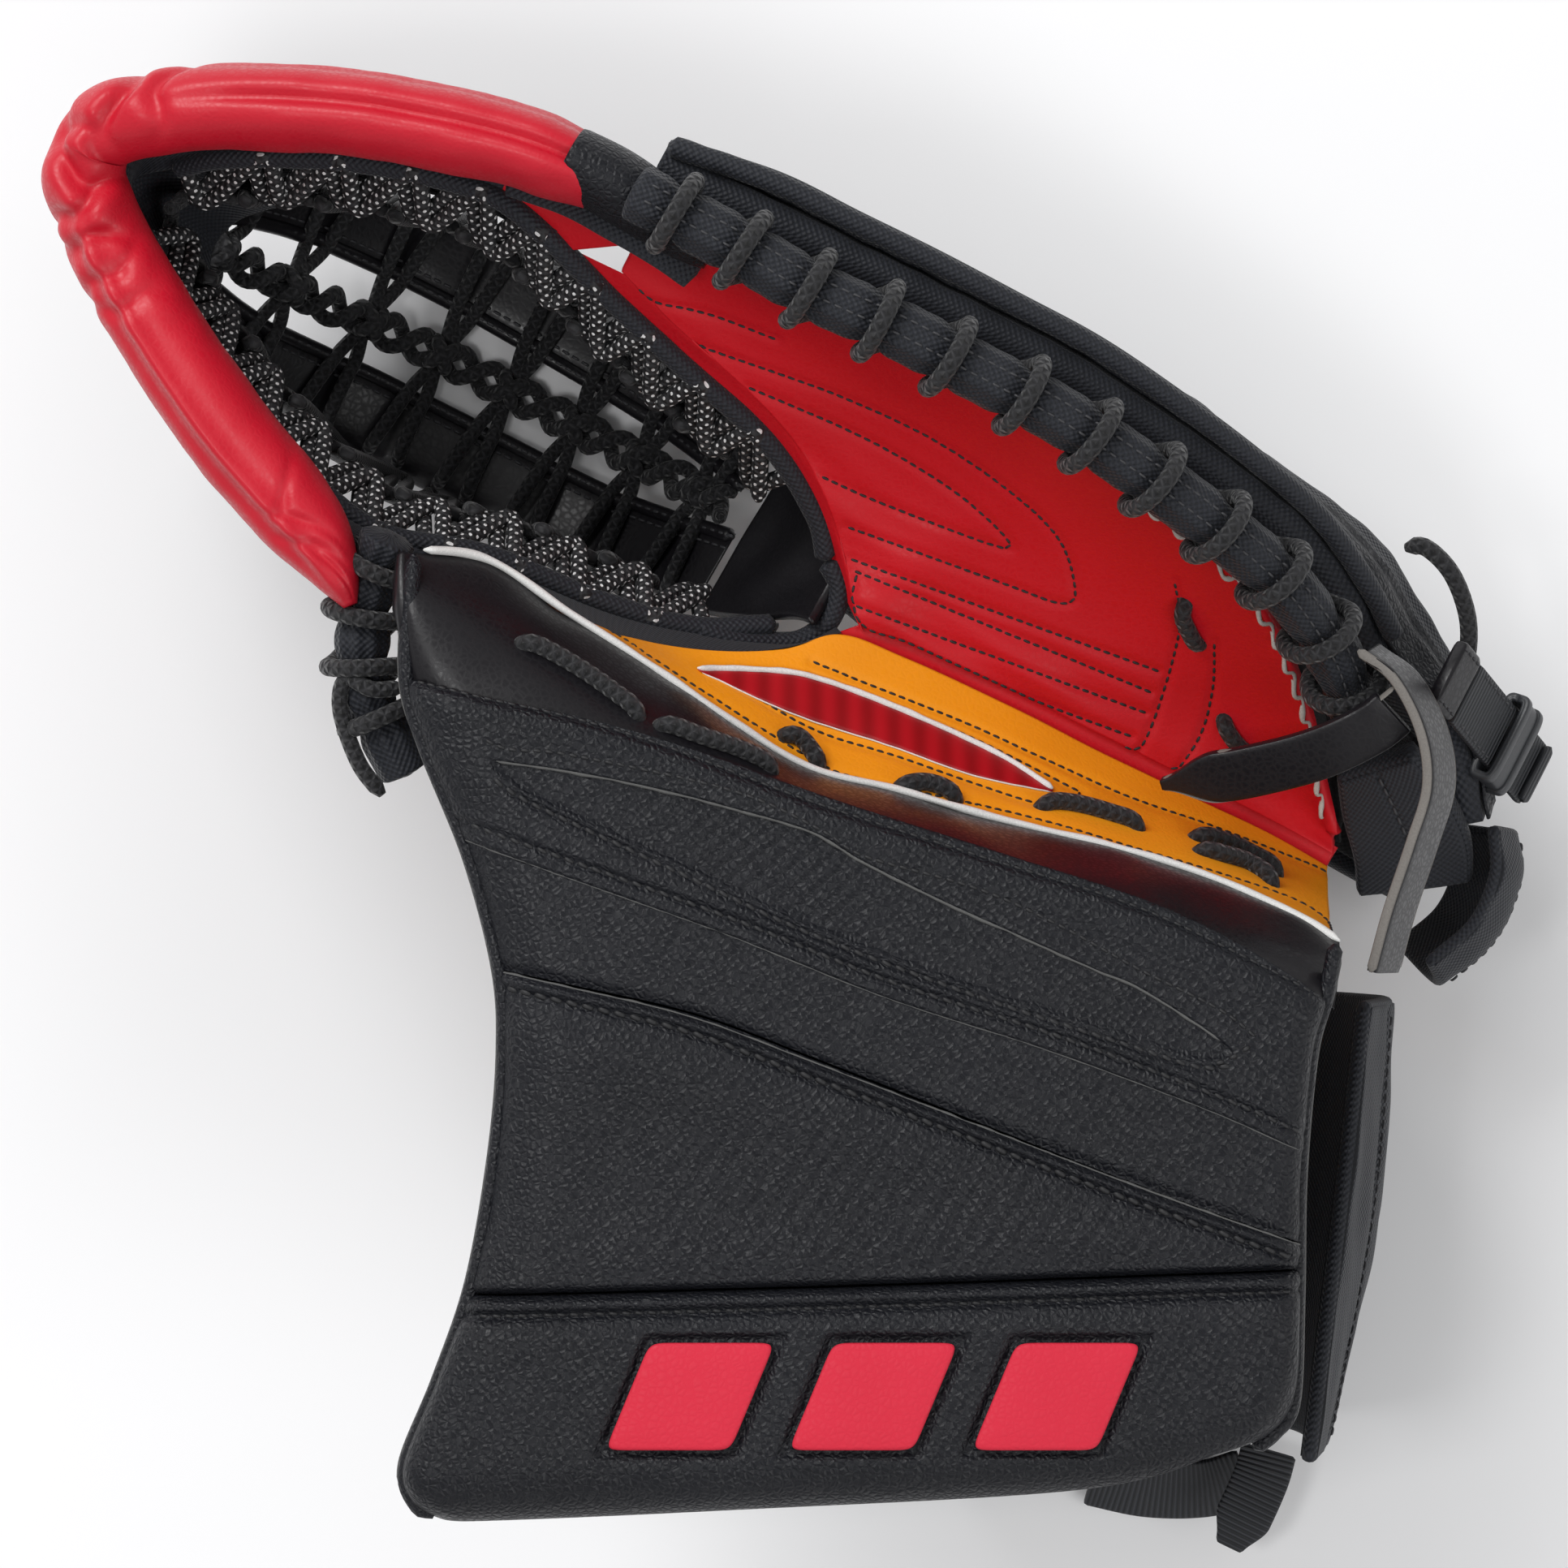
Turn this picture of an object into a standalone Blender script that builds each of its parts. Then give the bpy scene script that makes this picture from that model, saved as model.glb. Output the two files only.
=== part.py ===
"""Goalie catch glove, lying on its back with the palm and the cuff face up.

The glove folds along its break, a straight line from the heel of the palm to the corner of the pocket's
rim. Places near the break are given as (s, u, z): s runs along the break from the heel, u across it
towards the fingers, and z up. Places on the cuff are plain (x, y, z). All sizes are in millimetres.
"""

import math

import bpy
import bmesh
from mathutils import Matrix, Vector

MM = 0.001

# Overall sizes
BREAK_LENGTH = 332.0        # heel of the palm to the corner of the rim
BREAK_TURN = 150.0          # degrees from +X to the break's direction
HEEL = Vector((130.0, -18.0, 0.0))
CUFF_REACH = 150.0          # how far the cuff runs below the break's heel
PANEL_TOP = 150.0           # height of the thumb and cuff face
POCKET_DEPTH = 114.0        # rim's line to the lowest lace of the pocket

# Layers of the thumb and cuff panel, from the face down
FACE_PAD = 24.0
LOWER_PAD_PROUD = 2.0
BOARD = 3.0
BOARD_INSET = 8.0
LINING_PAD = 10.0
WALL_PAD = 12.0
WALL_FOOT = 1.6             # the same pad where it is sewn down along the piping

# Leather, webbing, rolls and laces
PALM_LEATHER = 3.0
PALM_FOAM = 4.0
BAND_LEATHER = 4.0
INSET_LEATHER = 1.2
EMBLEM_RAISE = 1.2
STRAP_LEATHER = 4.5
STRAP_WIDTH = 20.0
WALL_LEATHER = 2.4
BACKHAND_SHELL = 9.0
BACKHAND_LINER = 3.0
CUFF_WRAP = 8.0
WEBBING = 2.0
TAIL_LEATHER = 3.0
TAIL_WIDTH = 13.0
LOOP_WIDTH = 17.0
WRIST_STRAP_WIDTH = 16.0
BUCKLE_LENGTH = 10.0
LACE = 4.2
CHAIN_BRAID = 5.2
PIPING = 2.4
EDGE_ROLL = 12.4
TIP_ROLL = 12.0
BINDING = 5.0
RIM_WIDTH = 15.0
RIM_HEIGHT = 27.0
FINGER_BAND_BORE = 17.0
LITTLE_BAND_BORE = 14.0
THUMB_BAND_BORE = 23.0
BAND_WALL = 1.6
FINGER_BAND_WIDTH = 12.0
THUMB_BAND_WIDTH = 18.0
GAP = 0.4                   # clearance between two pieces that touch
HINGE_GAP = 2.4             # the two halves of the palm stand this far apart at the break

# The pattern is drawn for these sizes and graded to the ones above.
DRAWN_BREAK = 332.0
DRAWN_REACH = 150.0
DRAWN_ROLL = 12.4
ROLL_GROWTH = (EDGE_ROLL - DRAWN_ROLL) / 2   # the roll grows away from the palm

# Underside of the panel, where the wrist's tube begins
PANEL_UNDERSIDE = PANEL_TOP - FACE_PAD - BOARD - LINING_PAD - 2 * GAP

ALONG = Vector((math.cos(math.radians(BREAK_TURN)), math.sin(math.radians(BREAK_TURN)), 0.0))
ACROSS = Vector((ALONG.y, -ALONG.x, 0.0))
UP = Vector((0.0, 0.0, 1.0))


def fold(s, u, z):
    """The point at s along the break, u across it and z up. Past the heel, s isn't graded."""
    graded = s * BREAK_LENGTH / DRAWN_BREAK if s > 0 else s
    return HEEL + ALONG * graded + ACROSS * u + UP * z


def cuff(x, y, z=0.0):
    """A point of the cuff's pattern: what lies below the heel is graded to the cuff's reach."""
    below = min(0.0, y - HEEL.y)
    return Vector((x, y + below * (CUFF_REACH / DRAWN_REACH - 1.0), z))


def graded(x, y, z):
    """A point given as (x, y, z): graded with the cuff below the heel, and with the break above it."""
    if y < HEEL.y:
        return cuff(x, y, z)
    offset = Vector((x, y, 0.0)) - HEEL
    return fold(offset.dot(ALONG), offset.dot(ACROSS), z)


def clear_scene():
    for item in list(bpy.data.objects):
        bpy.data.objects.remove(item, do_unlink=True)


# ---------------------------------------------------------------- materials

FINISHES = {
    "black_leather": ((0.018, 0.019, 0.022), 0.45, 0.0),
    "red_leather": ((0.55, 0.008, 0.020), 0.42, 0.0),
    "gold_leather": ((0.85, 0.28, 0.01), 0.40, 0.0),
    "black_nylon": ((0.014, 0.015, 0.018), 0.80, 0.0),
    "black_lace": ((0.012, 0.012, 0.013), 0.85, 0.0),
    "white_piping": ((0.80, 0.80, 0.78), 0.60, 0.0),
    "black_foam": ((0.030, 0.031, 0.034), 0.90, 0.0),
    "black_plastic": ((0.020, 0.021, 0.023), 0.35, 0.0),
}


def finish(name):
    """The Principled material of that name, made the first time that it is asked for."""
    found = bpy.data.materials.get(name)
    if found:
        return found
    colour, roughness, metallic = FINISHES[name]
    made = bpy.data.materials.new(name)
    made.use_nodes = True
    shader = made.node_tree.nodes["Principled BSDF"]
    shader.inputs["Base Color"].default_value = (*colour, 1.0)
    shader.inputs["Roughness"].default_value = roughness
    shader.inputs["Metallic"].default_value = metallic
    return made


# ---------------------------------------------------------------- curves

def hermite(stations, at):
    """Smooth values at a place along stations, a list of (place, value, value...), placed in order."""
    places = [station[0] for station in stations]
    at = min(max(at, places[0]), places[-1])
    i = max(k for k in range(len(places) - 1) if places[k] <= at)

    def slope(k, c):
        lo, hi = max(k - 1, 0), min(k + 1, len(places) - 1)
        return (stations[hi][c] - stations[lo][c]) / (places[hi] - places[lo])

    span = places[i + 1] - places[i]
    t = (at - places[i]) / span
    values = []
    for c in range(1, len(stations[0])):
        a, b = stations[i][c], stations[i + 1][c]
        values.append(
            a * (2 * t**3 - 3 * t**2 + 1) + b * (3 * t**2 - 2 * t**3)
            + span * (slope(i, c) * (t**3 - 2 * t**2 + t) + slope(i + 1, c) * (t**3 - t**2))
        )
    return values if len(values) > 1 else values[0]


def run(points, count):
    """count points spaced evenly along one smooth curve through the given ones."""
    fine = []
    per_span = 16
    for i in range(len(points) - 1):
        a, b = points[i], points[i + 1]
        before = points[i - 1] if i else a - (b - a)
        after = points[i + 2] if i + 2 < len(points) else b + (b - a)
        for k in range(per_span):
            t = k / per_span
            fine.append(0.5 * (
                2 * a + (b - before) * t + (2 * before - 5 * a + 4 * b - after) * t**2
                + (3 * a - before - 3 * b + after) * t**3
            ))
    fine.append(points[-1])
    lengths = [0.0]
    for a, b in zip(fine, fine[1:]):
        lengths.append(lengths[-1] + (b - a).length)
    even, k = [], 0
    for i in range(count):
        wanted = lengths[-1] * i / (count - 1)
        while k < len(fine) - 2 and lengths[k + 1] < wanted:
            k += 1
        share = (wanted - lengths[k]) / max(lengths[k + 1] - lengths[k], 1e-9)
        even.append(fine[k].lerp(fine[k + 1], min(max(share, 0.0), 1.0)))
    return even


def shares(count):
    return [i / (count - 1) for i in range(count)]


def directions(points):
    """The unit direction of travel at each point of a path."""
    last = len(points) - 1
    return [(points[min(i + 1, last)] - points[max(i - 1, 0)]).normalized() for i in range(last + 1)]


def side_of(points, guide=UP):
    """At each point of a path, the unit vector to its side, square to it and to guide."""
    return [way.cross(guide).normalized() for way in directions(points)]


# ---------------------------------------------------------------- builders

def add(name, mesh, material):
    """Put a mesh in the scene as an object whose own origin is the middle of its box."""
    corners = [vertex.co for vertex in mesh.vertices]
    low = Vector([min(co[k] for co in corners) for k in range(3)])
    high = Vector([max(co[k] for co in corners) for k in range(3)])
    middle = (low + high) / 2
    mesh.transform(Matrix.Translation(-middle))
    made = bpy.data.objects.new(name, mesh)
    made.location = middle
    bpy.context.scene.collection.objects.link(made)
    mesh.materials.append(finish(material))
    return made


def skin(name, rings, material, sharp=50.0, strips=False):
    """A closed solid through rings of points, each with as many points, and with a cap on each end.

    With strips, a cap is a strip of faces across a long bent ring, such as the edge of a sheet.
    """
    shape = bmesh.new()
    loops = [[shape.verts.new(point * MM) for point in ring] for ring in rings]
    for a, b in zip(loops, loops[1:]):
        for k in range(len(a)):
            following = (k + 1) % len(a)
            shape.faces.new((a[k], a[following], b[following], b[k]))
    for loop in (loops[0][::-1], loops[-1]):
        if strips:
            for k in range(len(loop) // 2 - 1):
                shape.faces.new((loop[k], loop[k + 1], loop[-2 - k], loop[-1 - k]))
        else:
            bmesh.ops.triangulate(shape, faces=[shape.faces.new(loop)])
    bmesh.ops.recalc_face_normals(shape, faces=shape.faces)
    mesh = bpy.data.meshes.new(name)
    shape.to_mesh(mesh)
    shape.free()
    mesh.shade_smooth()
    mesh.set_sharp_from_angle(angle=math.radians(sharp))
    return add(name, mesh, material)


def slab(name, upper, lower, material):
    """A closed solid between two grids of points, upper and lower, with as many rows and columns."""
    rings = []
    for top, bottom in zip(upper, lower):
        rings.append(list(top) + list(bottom)[::-1])
    return skin(name, rings, material, 40.0, True)


def sheet(name, rows, thickness, material, facing, start=0.0):
    """A sheet on a grid of points that faces facing. It lies behind the grid, from start inwards."""
    normals = grid_normals(rows, facing)
    upper = [[p - n * start for p, n in zip(*pair)] for pair in zip(rows, normals)]
    lower = [[p - n * (start + thickness) for p, n in zip(*pair)] for pair in zip(rows, normals)]
    return slab(name, upper, lower, material)


def grid_normals(rows, facing):
    """The unit normal at each point of a grid, on the side that facing is on."""
    normals = []
    for i, row in enumerate(rows):
        line = []
        for k in range(len(row)):
            before, after = rows[max(i - 1, 0)][k], rows[min(i + 1, len(rows) - 1)][k]
            left, right = row[max(k - 1, 0)], row[min(k + 1, len(row) - 1)]
            line.append((right - left).cross(after - before).normalized())
        normals.append(line)
    total = sum((normal for line in normals for normal in line), Vector())
    if total.dot(facing) < 0:
        normals = [[-normal for normal in line] for line in normals]
    return normals


def ribbon(name, path, wide, width, thickness, material, taper=None):
    """A flat strap along a path. wide is its width's direction at each point."""
    rings = []
    for i, (point, way, across) in enumerate(zip(path, directions(path), wide)):
        across = (across - way * across.dot(way)).normalized()
        out = way.cross(across).normalized()
        half = width * (taper[i] if taper else 1.0) / 2
        rings.append([
            point + across * half + out * thickness / 2,
            point + across * half - out * thickness / 2,
            point - across * half - out * thickness / 2,
            point - across * half + out * thickness / 2,
        ])
    return skin(name, rings, material, 40.0)


def roll(name, path, wide, half_width, half_height, material, sides=10, ends=0.6):
    """A padded roll with an oval section along a path, its ends drawn in."""
    rings = []
    last = len(path) - 1
    for i, (point, way, across) in enumerate(zip(path, directions(path), wide)):
        across = (across - way * across.dot(way)).normalized()
        rise = way.cross(across).normalized()
        shrink = ends if i in (0, last) else 1.0
        ring = []
        for k in range(sides):
            angle = 2 * math.pi * (k + 0.5) / sides
            ring.append(
                point + across * half_width * shrink * math.cos(angle)
                + rise * half_height * shrink * math.sin(angle)
            )
        rings.append(ring)
    return skin(name, rings, material, 80.0)


def lace(name, path, diameter=LACE, material="black_lace", resolution=2):
    """A round lace: a curve through the points, with a bevel and filled caps."""
    line = bpy.data.curves.new(name, "CURVE")
    line.dimensions = "3D"
    line.bevel_depth = diameter / 2 * MM
    line.bevel_resolution = resolution
    line.use_fill_caps = True
    spline = line.splines.new("POLY")
    spline.points.add(len(path) - 1)
    for target, point in zip(spline.points, path):
        target.co = (*((point - path[0]) * MM), 1.0)
    line.materials.append(finish(material))
    made = bpy.data.objects.new(name, line)
    made.location = path[0] * MM
    bpy.context.scene.collection.objects.link(made)
    return made


# ---------------------------------------------------------------- the thumb and cuff panel

LEFT_EDGE = [(-166.5, -78), (-162, -84.5), (-153, -86.5), (-134, -79), (-112, -71.5), (-84, -66.5),
             (-61, -64.5), (-42, -65.5), (-17, -72), (8, -82), (24.5, -86.5), (52, -85)]
RIGHT_EDGE = [(-150.5, 106), (-146, 112), (-139, 116), (-115, 117), (-88, 117.5), (-61, 120),
              (-48, 123.5), (-36, 126)]
HEM = [(-78, -166.5), (0, -163.5), (75, -159), (106, -150.5)]
LOWER_SEAM = [(-72.5, -115), (20, -112.5), (117, -109)]
MIDDLE_SEAM = [(-65.6, -41.6), (-48, -45.5), (-21, -52), (6, -62), (42.5, -76), (79, -90), (117, -104)]
THUMB_SEAM = [(-86.5, 24.4), (-66.5, 21.5), (-48.4, 16.5), (-30, 9.3), (-12, 2.9), (11.5, -4.9),
              (37.5, -13.5), (61, -21), (85.5, -28.4), (114.5, -44), (123.5, -48)]
# The white piping, from the thumb's tip to the heel, and the line where the gold band meets the palm.
PIPING_LINE = [(-85, 52, 138), (-68, 51.2, 124), (-49.5, 39.2, 118), (-31, 27.2, 116), (-12.3, 14.5, 115),
               (6.3, 3.4, 114), (26, -1.5, 113), (49.3, -8.2, 112), (81, -16, 111), (99.7, -22.2, 112),
               (118, -30.5, 116), (126.9, -36, 122)]


def seam(line, count, lift=0.0):
    """count points along a seam from the left edge to the right one, moved up the cuff by lift."""
    left, right = line[0][0], line[-1][0]
    points = []
    for t in shares(count):
        x = left + (right - left) * t
        points.append(Vector((x, hermite(line, x) + lift)))
    return points


def panel_grid(lower, upper, across, down, inset=0.0):
    """Rows of (x, y) points between two seams, held to the panel's left and right edges."""
    rows = []
    for v in across:
        row = []
        low_left, low_right, up_left, up_right = lower[0], lower[-1], upper[0], upper[-1]
        left_y = low_left.y + (up_left.y - low_left.y) * v
        right_y = low_right.y + (up_right.y - low_right.y) * v
        left_fix = hermite(LEFT_EDGE, left_y) + inset - (low_left.x + (up_left.x - low_left.x) * v)
        right_fix = hermite(RIGHT_EDGE, right_y) - inset - (low_right.x + (up_right.x - low_right.x) * v)
        for i, t in enumerate(down):
            at = lower[i].lerp(upper[i], v)
            row.append(Vector((at.x + (1 - t) * left_fix + t * right_fix, at.y)))
        rows.append(row)
    return rows


def quilted_pad(name, lower, upper, top, thickness, material, soft_edge=4.0):
    """A face pad between two seams, lower at its edges where the leather is pulled down."""
    across = (0.0, 0.1, 0.35, 0.65, 0.9, 1.0)
    columns = shares(10)
    grid = panel_grid(lower, upper, across, columns, BINDING + 2 * GAP)
    high, low = [], []
    for v, row in zip(across, grid):
        edge_row = v in (0.0, 1.0)
        high.append([
            cuff(p.x, p.y, top - (soft_edge if edge_row or t in (0.0, 1.0) else 0.0))
            for p, t in zip(row, columns)
        ])
        low.append([cuff(p.x, p.y, top - thickness) for p in row])
    return slab(name, high, low, material)


def make_panel():
    count = 10
    half = GAP / 2
    quilted_pad("cuff_lower_pad", seam(HEM, count), seam(LOWER_SEAM, count, -half),
                PANEL_TOP + LOWER_PAD_PROUD, FACE_PAD + LOWER_PAD_PROUD, "black_leather")
    quilted_pad("cuff_middle_pad", seam(LOWER_SEAM, count, half), seam(MIDDLE_SEAM, count, -half),
                PANEL_TOP, FACE_PAD, "black_leather", 3.0)
    quilted_pad("thumb_face_pad", seam(MIDDLE_SEAM, count, half), seam(THUMB_SEAM, count, -half),
                PANEL_TOP, FACE_PAD, "black_leather", 3.0)
    board_top = PANEL_TOP - FACE_PAD - GAP
    lining_top = board_top - BOARD - GAP
    for name, top, thickness, material in (
        ("cuff_board", board_top, BOARD, "black_plastic"),
        ("cuff_lining_pad", lining_top, LINING_PAD, "black_foam"),
    ):
        grid = panel_grid(seam(HEM, count, BOARD_INSET), seam(THUMB_SEAM, count, -BOARD_INSET),
                          shares(5), shares(count), BOARD_INSET)
        slab(name, [[cuff(p.x, p.y, top) for p in row] for row in grid],
             [[cuff(p.x, p.y, top - thickness) for p in row] for row in grid], material)


def piping_curve(count):
    return run([cuff(*point) for point in PIPING_LINE], count)


def make_thumb_wall():
    """The pad that rolls over from the thumb's face down to the piping."""
    count = 16
    top = run([cuff(p.x, p.y, PANEL_TOP - 2.0) for p in seam(THUMB_SEAM, count, 1.5)], count)
    foot = piping_curve(count)
    high, low = [], []
    for v in (0.0, 0.25, 0.5, 0.75, 1.0):
        row, under = [], []
        for a, b in zip(top, foot):
            bulge = 5.0 * math.sin(math.pi * v) * min(1.0, (a - b).length / 30)
            point = a.lerp(b, v * (1 - 1.4 * PIPING / (a - b).length)) + UP * bulge
            row.append(point)
            under.append(point - UP * (WALL_PAD + (WALL_FOOT - WALL_PAD) * v))
        high.append(row)
        low.append(under)
    slab("thumb_wall_pad", high[::-1], low[::-1], "black_leather")
    piping = [point + UP * 0.6 for point in piping_curve(30)[2:]]
    lace("thumb_piping", piping, PIPING - 2 * GAP, "white_piping", 1)


# The line from the thumb's tip round the pocket's mouth, then along the crease to the heel.
BAND_LINE = [(204, -41, 115), (176, -39, 105), (156, -33, 98), (138, -22, 93), (128, -12, 89),
             (112, -9, 85), (84, -6.4, 80), (51, -4.3, 74), (20, -2, 68), (0, -1.5, 64)]


def band_rows(count, across):
    """Rows of points on the gold band, from the piping (0) to the crease of the palm (1)."""
    foot = piping_curve(40)[4:]
    foot = run([foot[0], *foot[3:-1:4], foot[-1]], count)
    crease = run([fold(*point) for point in BAND_LINE], count)
    rows = []
    for v in across:
        row = []
        for a, b in zip(foot, crease):
            length = max((b - a).length, 1.0)
            near, far = (PIPING / 2 + GAP) / length, 1 - HINGE_GAP / 2 / length
            sag = -0.10 * length * math.sin(math.pi * v)
            row.append(a.lerp(b, near + (far - near) * v) + UP * sag)
        rows.append(row)
    return rows


def make_gold_band():
    sheet("gusset_band", band_rows(14, shares(5)), BAND_LEATHER, "gold_leather", UP, 1.0)
    spine = [row[5:11] for row in band_rows(14, (0.30, 0.42, 0.55, 0.68))]
    grid = [[], [], [], []]
    for i in range(6):
        width = 0.15 + 0.85 * math.sin(math.pi * min(0.95, max(0.06, i / 5)))
        middle = spine[1][i].lerp(spine[2][i], 0.5)
        for row, line in zip(spine, grid):
            line.append(middle.lerp(row[i], width))
    normals = grid_normals(grid, UP)
    high = [[p + n * INSET_LEATHER for p, n in zip(*pair)] for pair in zip(grid, normals)]
    low = [[p - n * 0.2 for p, n in zip(*pair)] for pair in zip(grid, normals)]
    slab("gusset_inset", high, low, "red_leather")


# ---------------------------------------------------------------- the palm and the fingers

# Centre of the nylon roll along the finger edge, from the heel to the rim.
FINGER_EDGE = [(15, 31, 102), (28, 40, 114), (46, 47, 126), (66, 50, 135), (89, 52, 143), (110, 53, 148),
               (131, 52, 152), (151, 51, 155), (171, 49, 157), (192, 49, 158), (218, 48, 159)]
PALM_FOOT = [(0, 1.2, 64), (20, 0.8, 68), (51, -1.6, 74), (84, -4.0, 80), (112, -6.4, 85),
             (125, -8.5, 88.5), (136, 3, 91), (149, 14.5, 98.5), (167, 23, 108), (192, 28, 118),
             (212, 33, 126)]
PALM_HEAD = [(5, 5, 70), (14, 14.5, 82), (26, 26.5, 96), (45, 39, 112), (66, 45, 123), (89, 47.5, 131.5),
             (110, 48.5, 136.5), (131, 47.5, 140.5), (151, 46.5, 143.5), (171, 44.5, 145.5),
             (192, 44.5, 146.5), (212, 43, 147.5)]
PALM_CUP = 0.15             # how far the palm sags, as a share of its width


def palm_rows(count, across):
    """Rows of points on the palm, from the break (0) to the finger edge (1)."""
    foot = run([fold(*point) for point in PALM_FOOT], count)
    head = run([fold(*point) for point in PALM_HEAD], count)
    rows = []
    for v in across:
        row = []
        for a, b in zip(foot, head):
            chord = b - a
            inward = chord.cross(ALONG).normalized()
            inward = inward if inward.z < 0 else -inward
            row.append(a.lerp(b, v) + inward * PALM_CUP * chord.length * math.sin(math.pi * v))
        rows.append(row)
    return rows


def make_palm():
    across = (0.0, 0.15, 0.35, 0.55, 0.75, 0.9, 1.0)
    rows = palm_rows(20, across)
    sheet("palm_leather", rows, PALM_LEATHER, "red_leather", UP)
    inner = [row[1:-1] for row in rows[1:-1]]
    sheet("palm_foam", inner, PALM_FOAM, "black_foam", UP, PALM_LEATHER + 2 * GAP)


def band(name, centre, axis, up, bore, material, width=FINGER_BAND_WIDTH, squeeze=0.92, sides=16):
    """A soft loop for a finger: a short tube, a little flattened."""
    axis = axis.normalized()
    across = axis.cross(up).normalized()
    rise = across.cross(axis).normalized()
    inner, outer = bore / 2, bore / 2 + BAND_WALL
    shape = bmesh.new()
    loops = []
    for k in range(sides):
        angle = 2 * math.pi * k / sides
        ray = across * math.cos(angle) + rise * math.sin(angle) * squeeze
        loops.append([
            shape.verts.new((centre + ray * radius + axis * shift) * MM)
            for radius, shift in ((inner, -width / 2), (outer, -width / 2), (outer, width / 2),
                                  (inner, width / 2))
        ])
    for k in range(sides):
        a, b = loops[k], loops[(k + 1) % sides]
        for corner in range(4):
            following = (corner + 1) % 4
            shape.faces.new((a[corner], a[following], b[following], b[corner]))
    bmesh.ops.recalc_face_normals(shape, faces=shape.faces)
    mesh = bpy.data.meshes.new(name)
    shape.to_mesh(mesh)
    shape.free()
    mesh.shade_smooth()
    mesh.set_sharp_from_angle(angle=math.radians(40))
    return add(name, mesh, material)


def make_finger_bands():
    """Four loops behind the palm, one for each finger, side by side from the break to the edge.

    Where loops would touch, the middle finger's stands further along the palm.
    """
    grid = palm_rows(18, (0.06, 0.30, 0.54, 0.76))
    normals = grid_normals(grid, UP)
    names = ("finger_band_index", "finger_band_middle", "finger_band_ring", "finger_band_little")
    bores = (FINGER_BAND_BORE, FINGER_BAND_BORE, FINGER_BAND_BORE, LITTLE_BAND_BORE)

    def centre(k, along):
        drop = PALM_LEATHER + PALM_FOAM + bores[k] / 2 + BAND_WALL + 1.0
        return grid[k][along] - normals[k][along] * drop

    apart = min((centre(k + 1, 9) - centre(k, 9)).length for k in (0, 1))
    crowded = apart < FINGER_BAND_BORE + 2 * BAND_WALL
    for k, name in enumerate(names):
        along = 11 if crowded and k == 1 else 9
        way = grid[k][along + 1] - grid[k][along - 1]
        band(name, centre(k, along), way, normals[k][along], bores[k], "black_nylon")


def make_finger_edge():
    centres = [fold(s, u + 0.6 * ROLL_GROWTH, z + ROLL_GROWTH) for s, u, z in FINGER_EDGE]
    path = run(centres, 26)
    roll("finger_edge_roll", path, side_of(path), EDGE_ROLL / 2, EDGE_ROLL / 2 + 0.6, "black_nylon")
    turns, per_turn = round(12 * BREAK_LENGTH / DRAWN_BREAK), 8
    fine = run(centres, turns * per_turn + 9)[4:-4]
    sides = side_of(fine)
    radius = EDGE_ROLL / 2 + 0.6 + LACE / 2 + GAP
    coil = []
    for i, (point, across, way) in enumerate(zip(fine, sides, directions(fine))):
        angle = 2 * math.pi * i / per_turn
        rise = across.cross(way).normalized()
        coil.append(point + across * radius * math.cos(angle) + rise * radius * math.sin(angle))
    lace("finger_edge_lacing", coil, LACE, "black_lace", 1)


# The backhand's outer surface, as (u, z) pairs at each s: its upper edge, its widest line, its shoulder,
# where it lies on the floor, and its edge under the break.
BACKHAND = [
    (-25, 25, 72, 39, 56, 35, 32, 18, 14, 3, 11), (-12, 38, 80, 49, 60, 43, 32, 22, 8, 2, 6),
    (15, 47, 88, 65, 68, 55, 34, 27, 5, 2, 3), (28, 54, 99, 70, 74, 60, 36, 29, 5, 3, 3),
    (46, 61, 110, 73, 78, 62, 38, 31, 6, 4, 4), (66, 64, 120, 75, 81, 64, 42, 32, 9, 7, 6),
    (89, 66, 128, 77, 84, 66, 48, 34, 15, 14, 9), (110, 67, 133, 78, 87, 66, 54, 38, 24, 24, 17),
    (131, 66, 137, 77, 92, 66, 62, 43, 36, 34, 29), (151, 65, 140, 75, 97, 65, 70, 48, 48, 42, 41),
    (171, 63.5, 142, 72, 102, 64, 78, 52, 60, 47, 53), (192, 62, 143, 69, 107, 63, 88, 55, 72, 51, 65),
    (216, 61, 143, 64, 118, 61, 102, 56, 88, 53, 80),
]


def backhand_rows(count):
    """Rows of points on the backhand's outer surface, from its lower edge to its upper one."""
    first, last = BACKHAND[0][0], BACKHAND[-1][0]
    rows = [[] for _ in range(9)]
    for t in shares(count):
        s = first + (last - first) * t
        values = hermite(BACKHAND, s)
        spine = [fold(s, values[k], values[k + 1]) for k in (8, 6, 4, 2, 0)]
        for row, point in zip(rows, run(spine, 9)):
            row.append(point)
    return rows


def make_backhand():
    rows = backhand_rows(16)
    sheet("backhand_shell", rows, BACKHAND_SHELL, "black_nylon", ACROSS)
    inner = [row[1:-1] for row in rows[1:-2]]
    sheet("backhand_liner", inner, BACKHAND_LINER, "black_foam", ACROSS, BACKHAND_SHELL + 3 * GAP)
    edge = [fold(s, u + 4.4, z + 2.6) for s, u, z, *_ in BACKHAND[2:]]
    lace("backhand_binding", run(edge, 26), BINDING, "black_nylon", 1)
    loop = [Vector(point) for point in (
        (146.0, 55.5, 82), (150.5, 55.5, 84), (156.5, 49.5, 84), (160.5, 40.0, 81), (161.0, 31.0, 78),
        (158.5, 23.5, 76),
    )]
    lace("backhand_lace_loop", run(loop, 14), LACE, "black_lace", 2)


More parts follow.
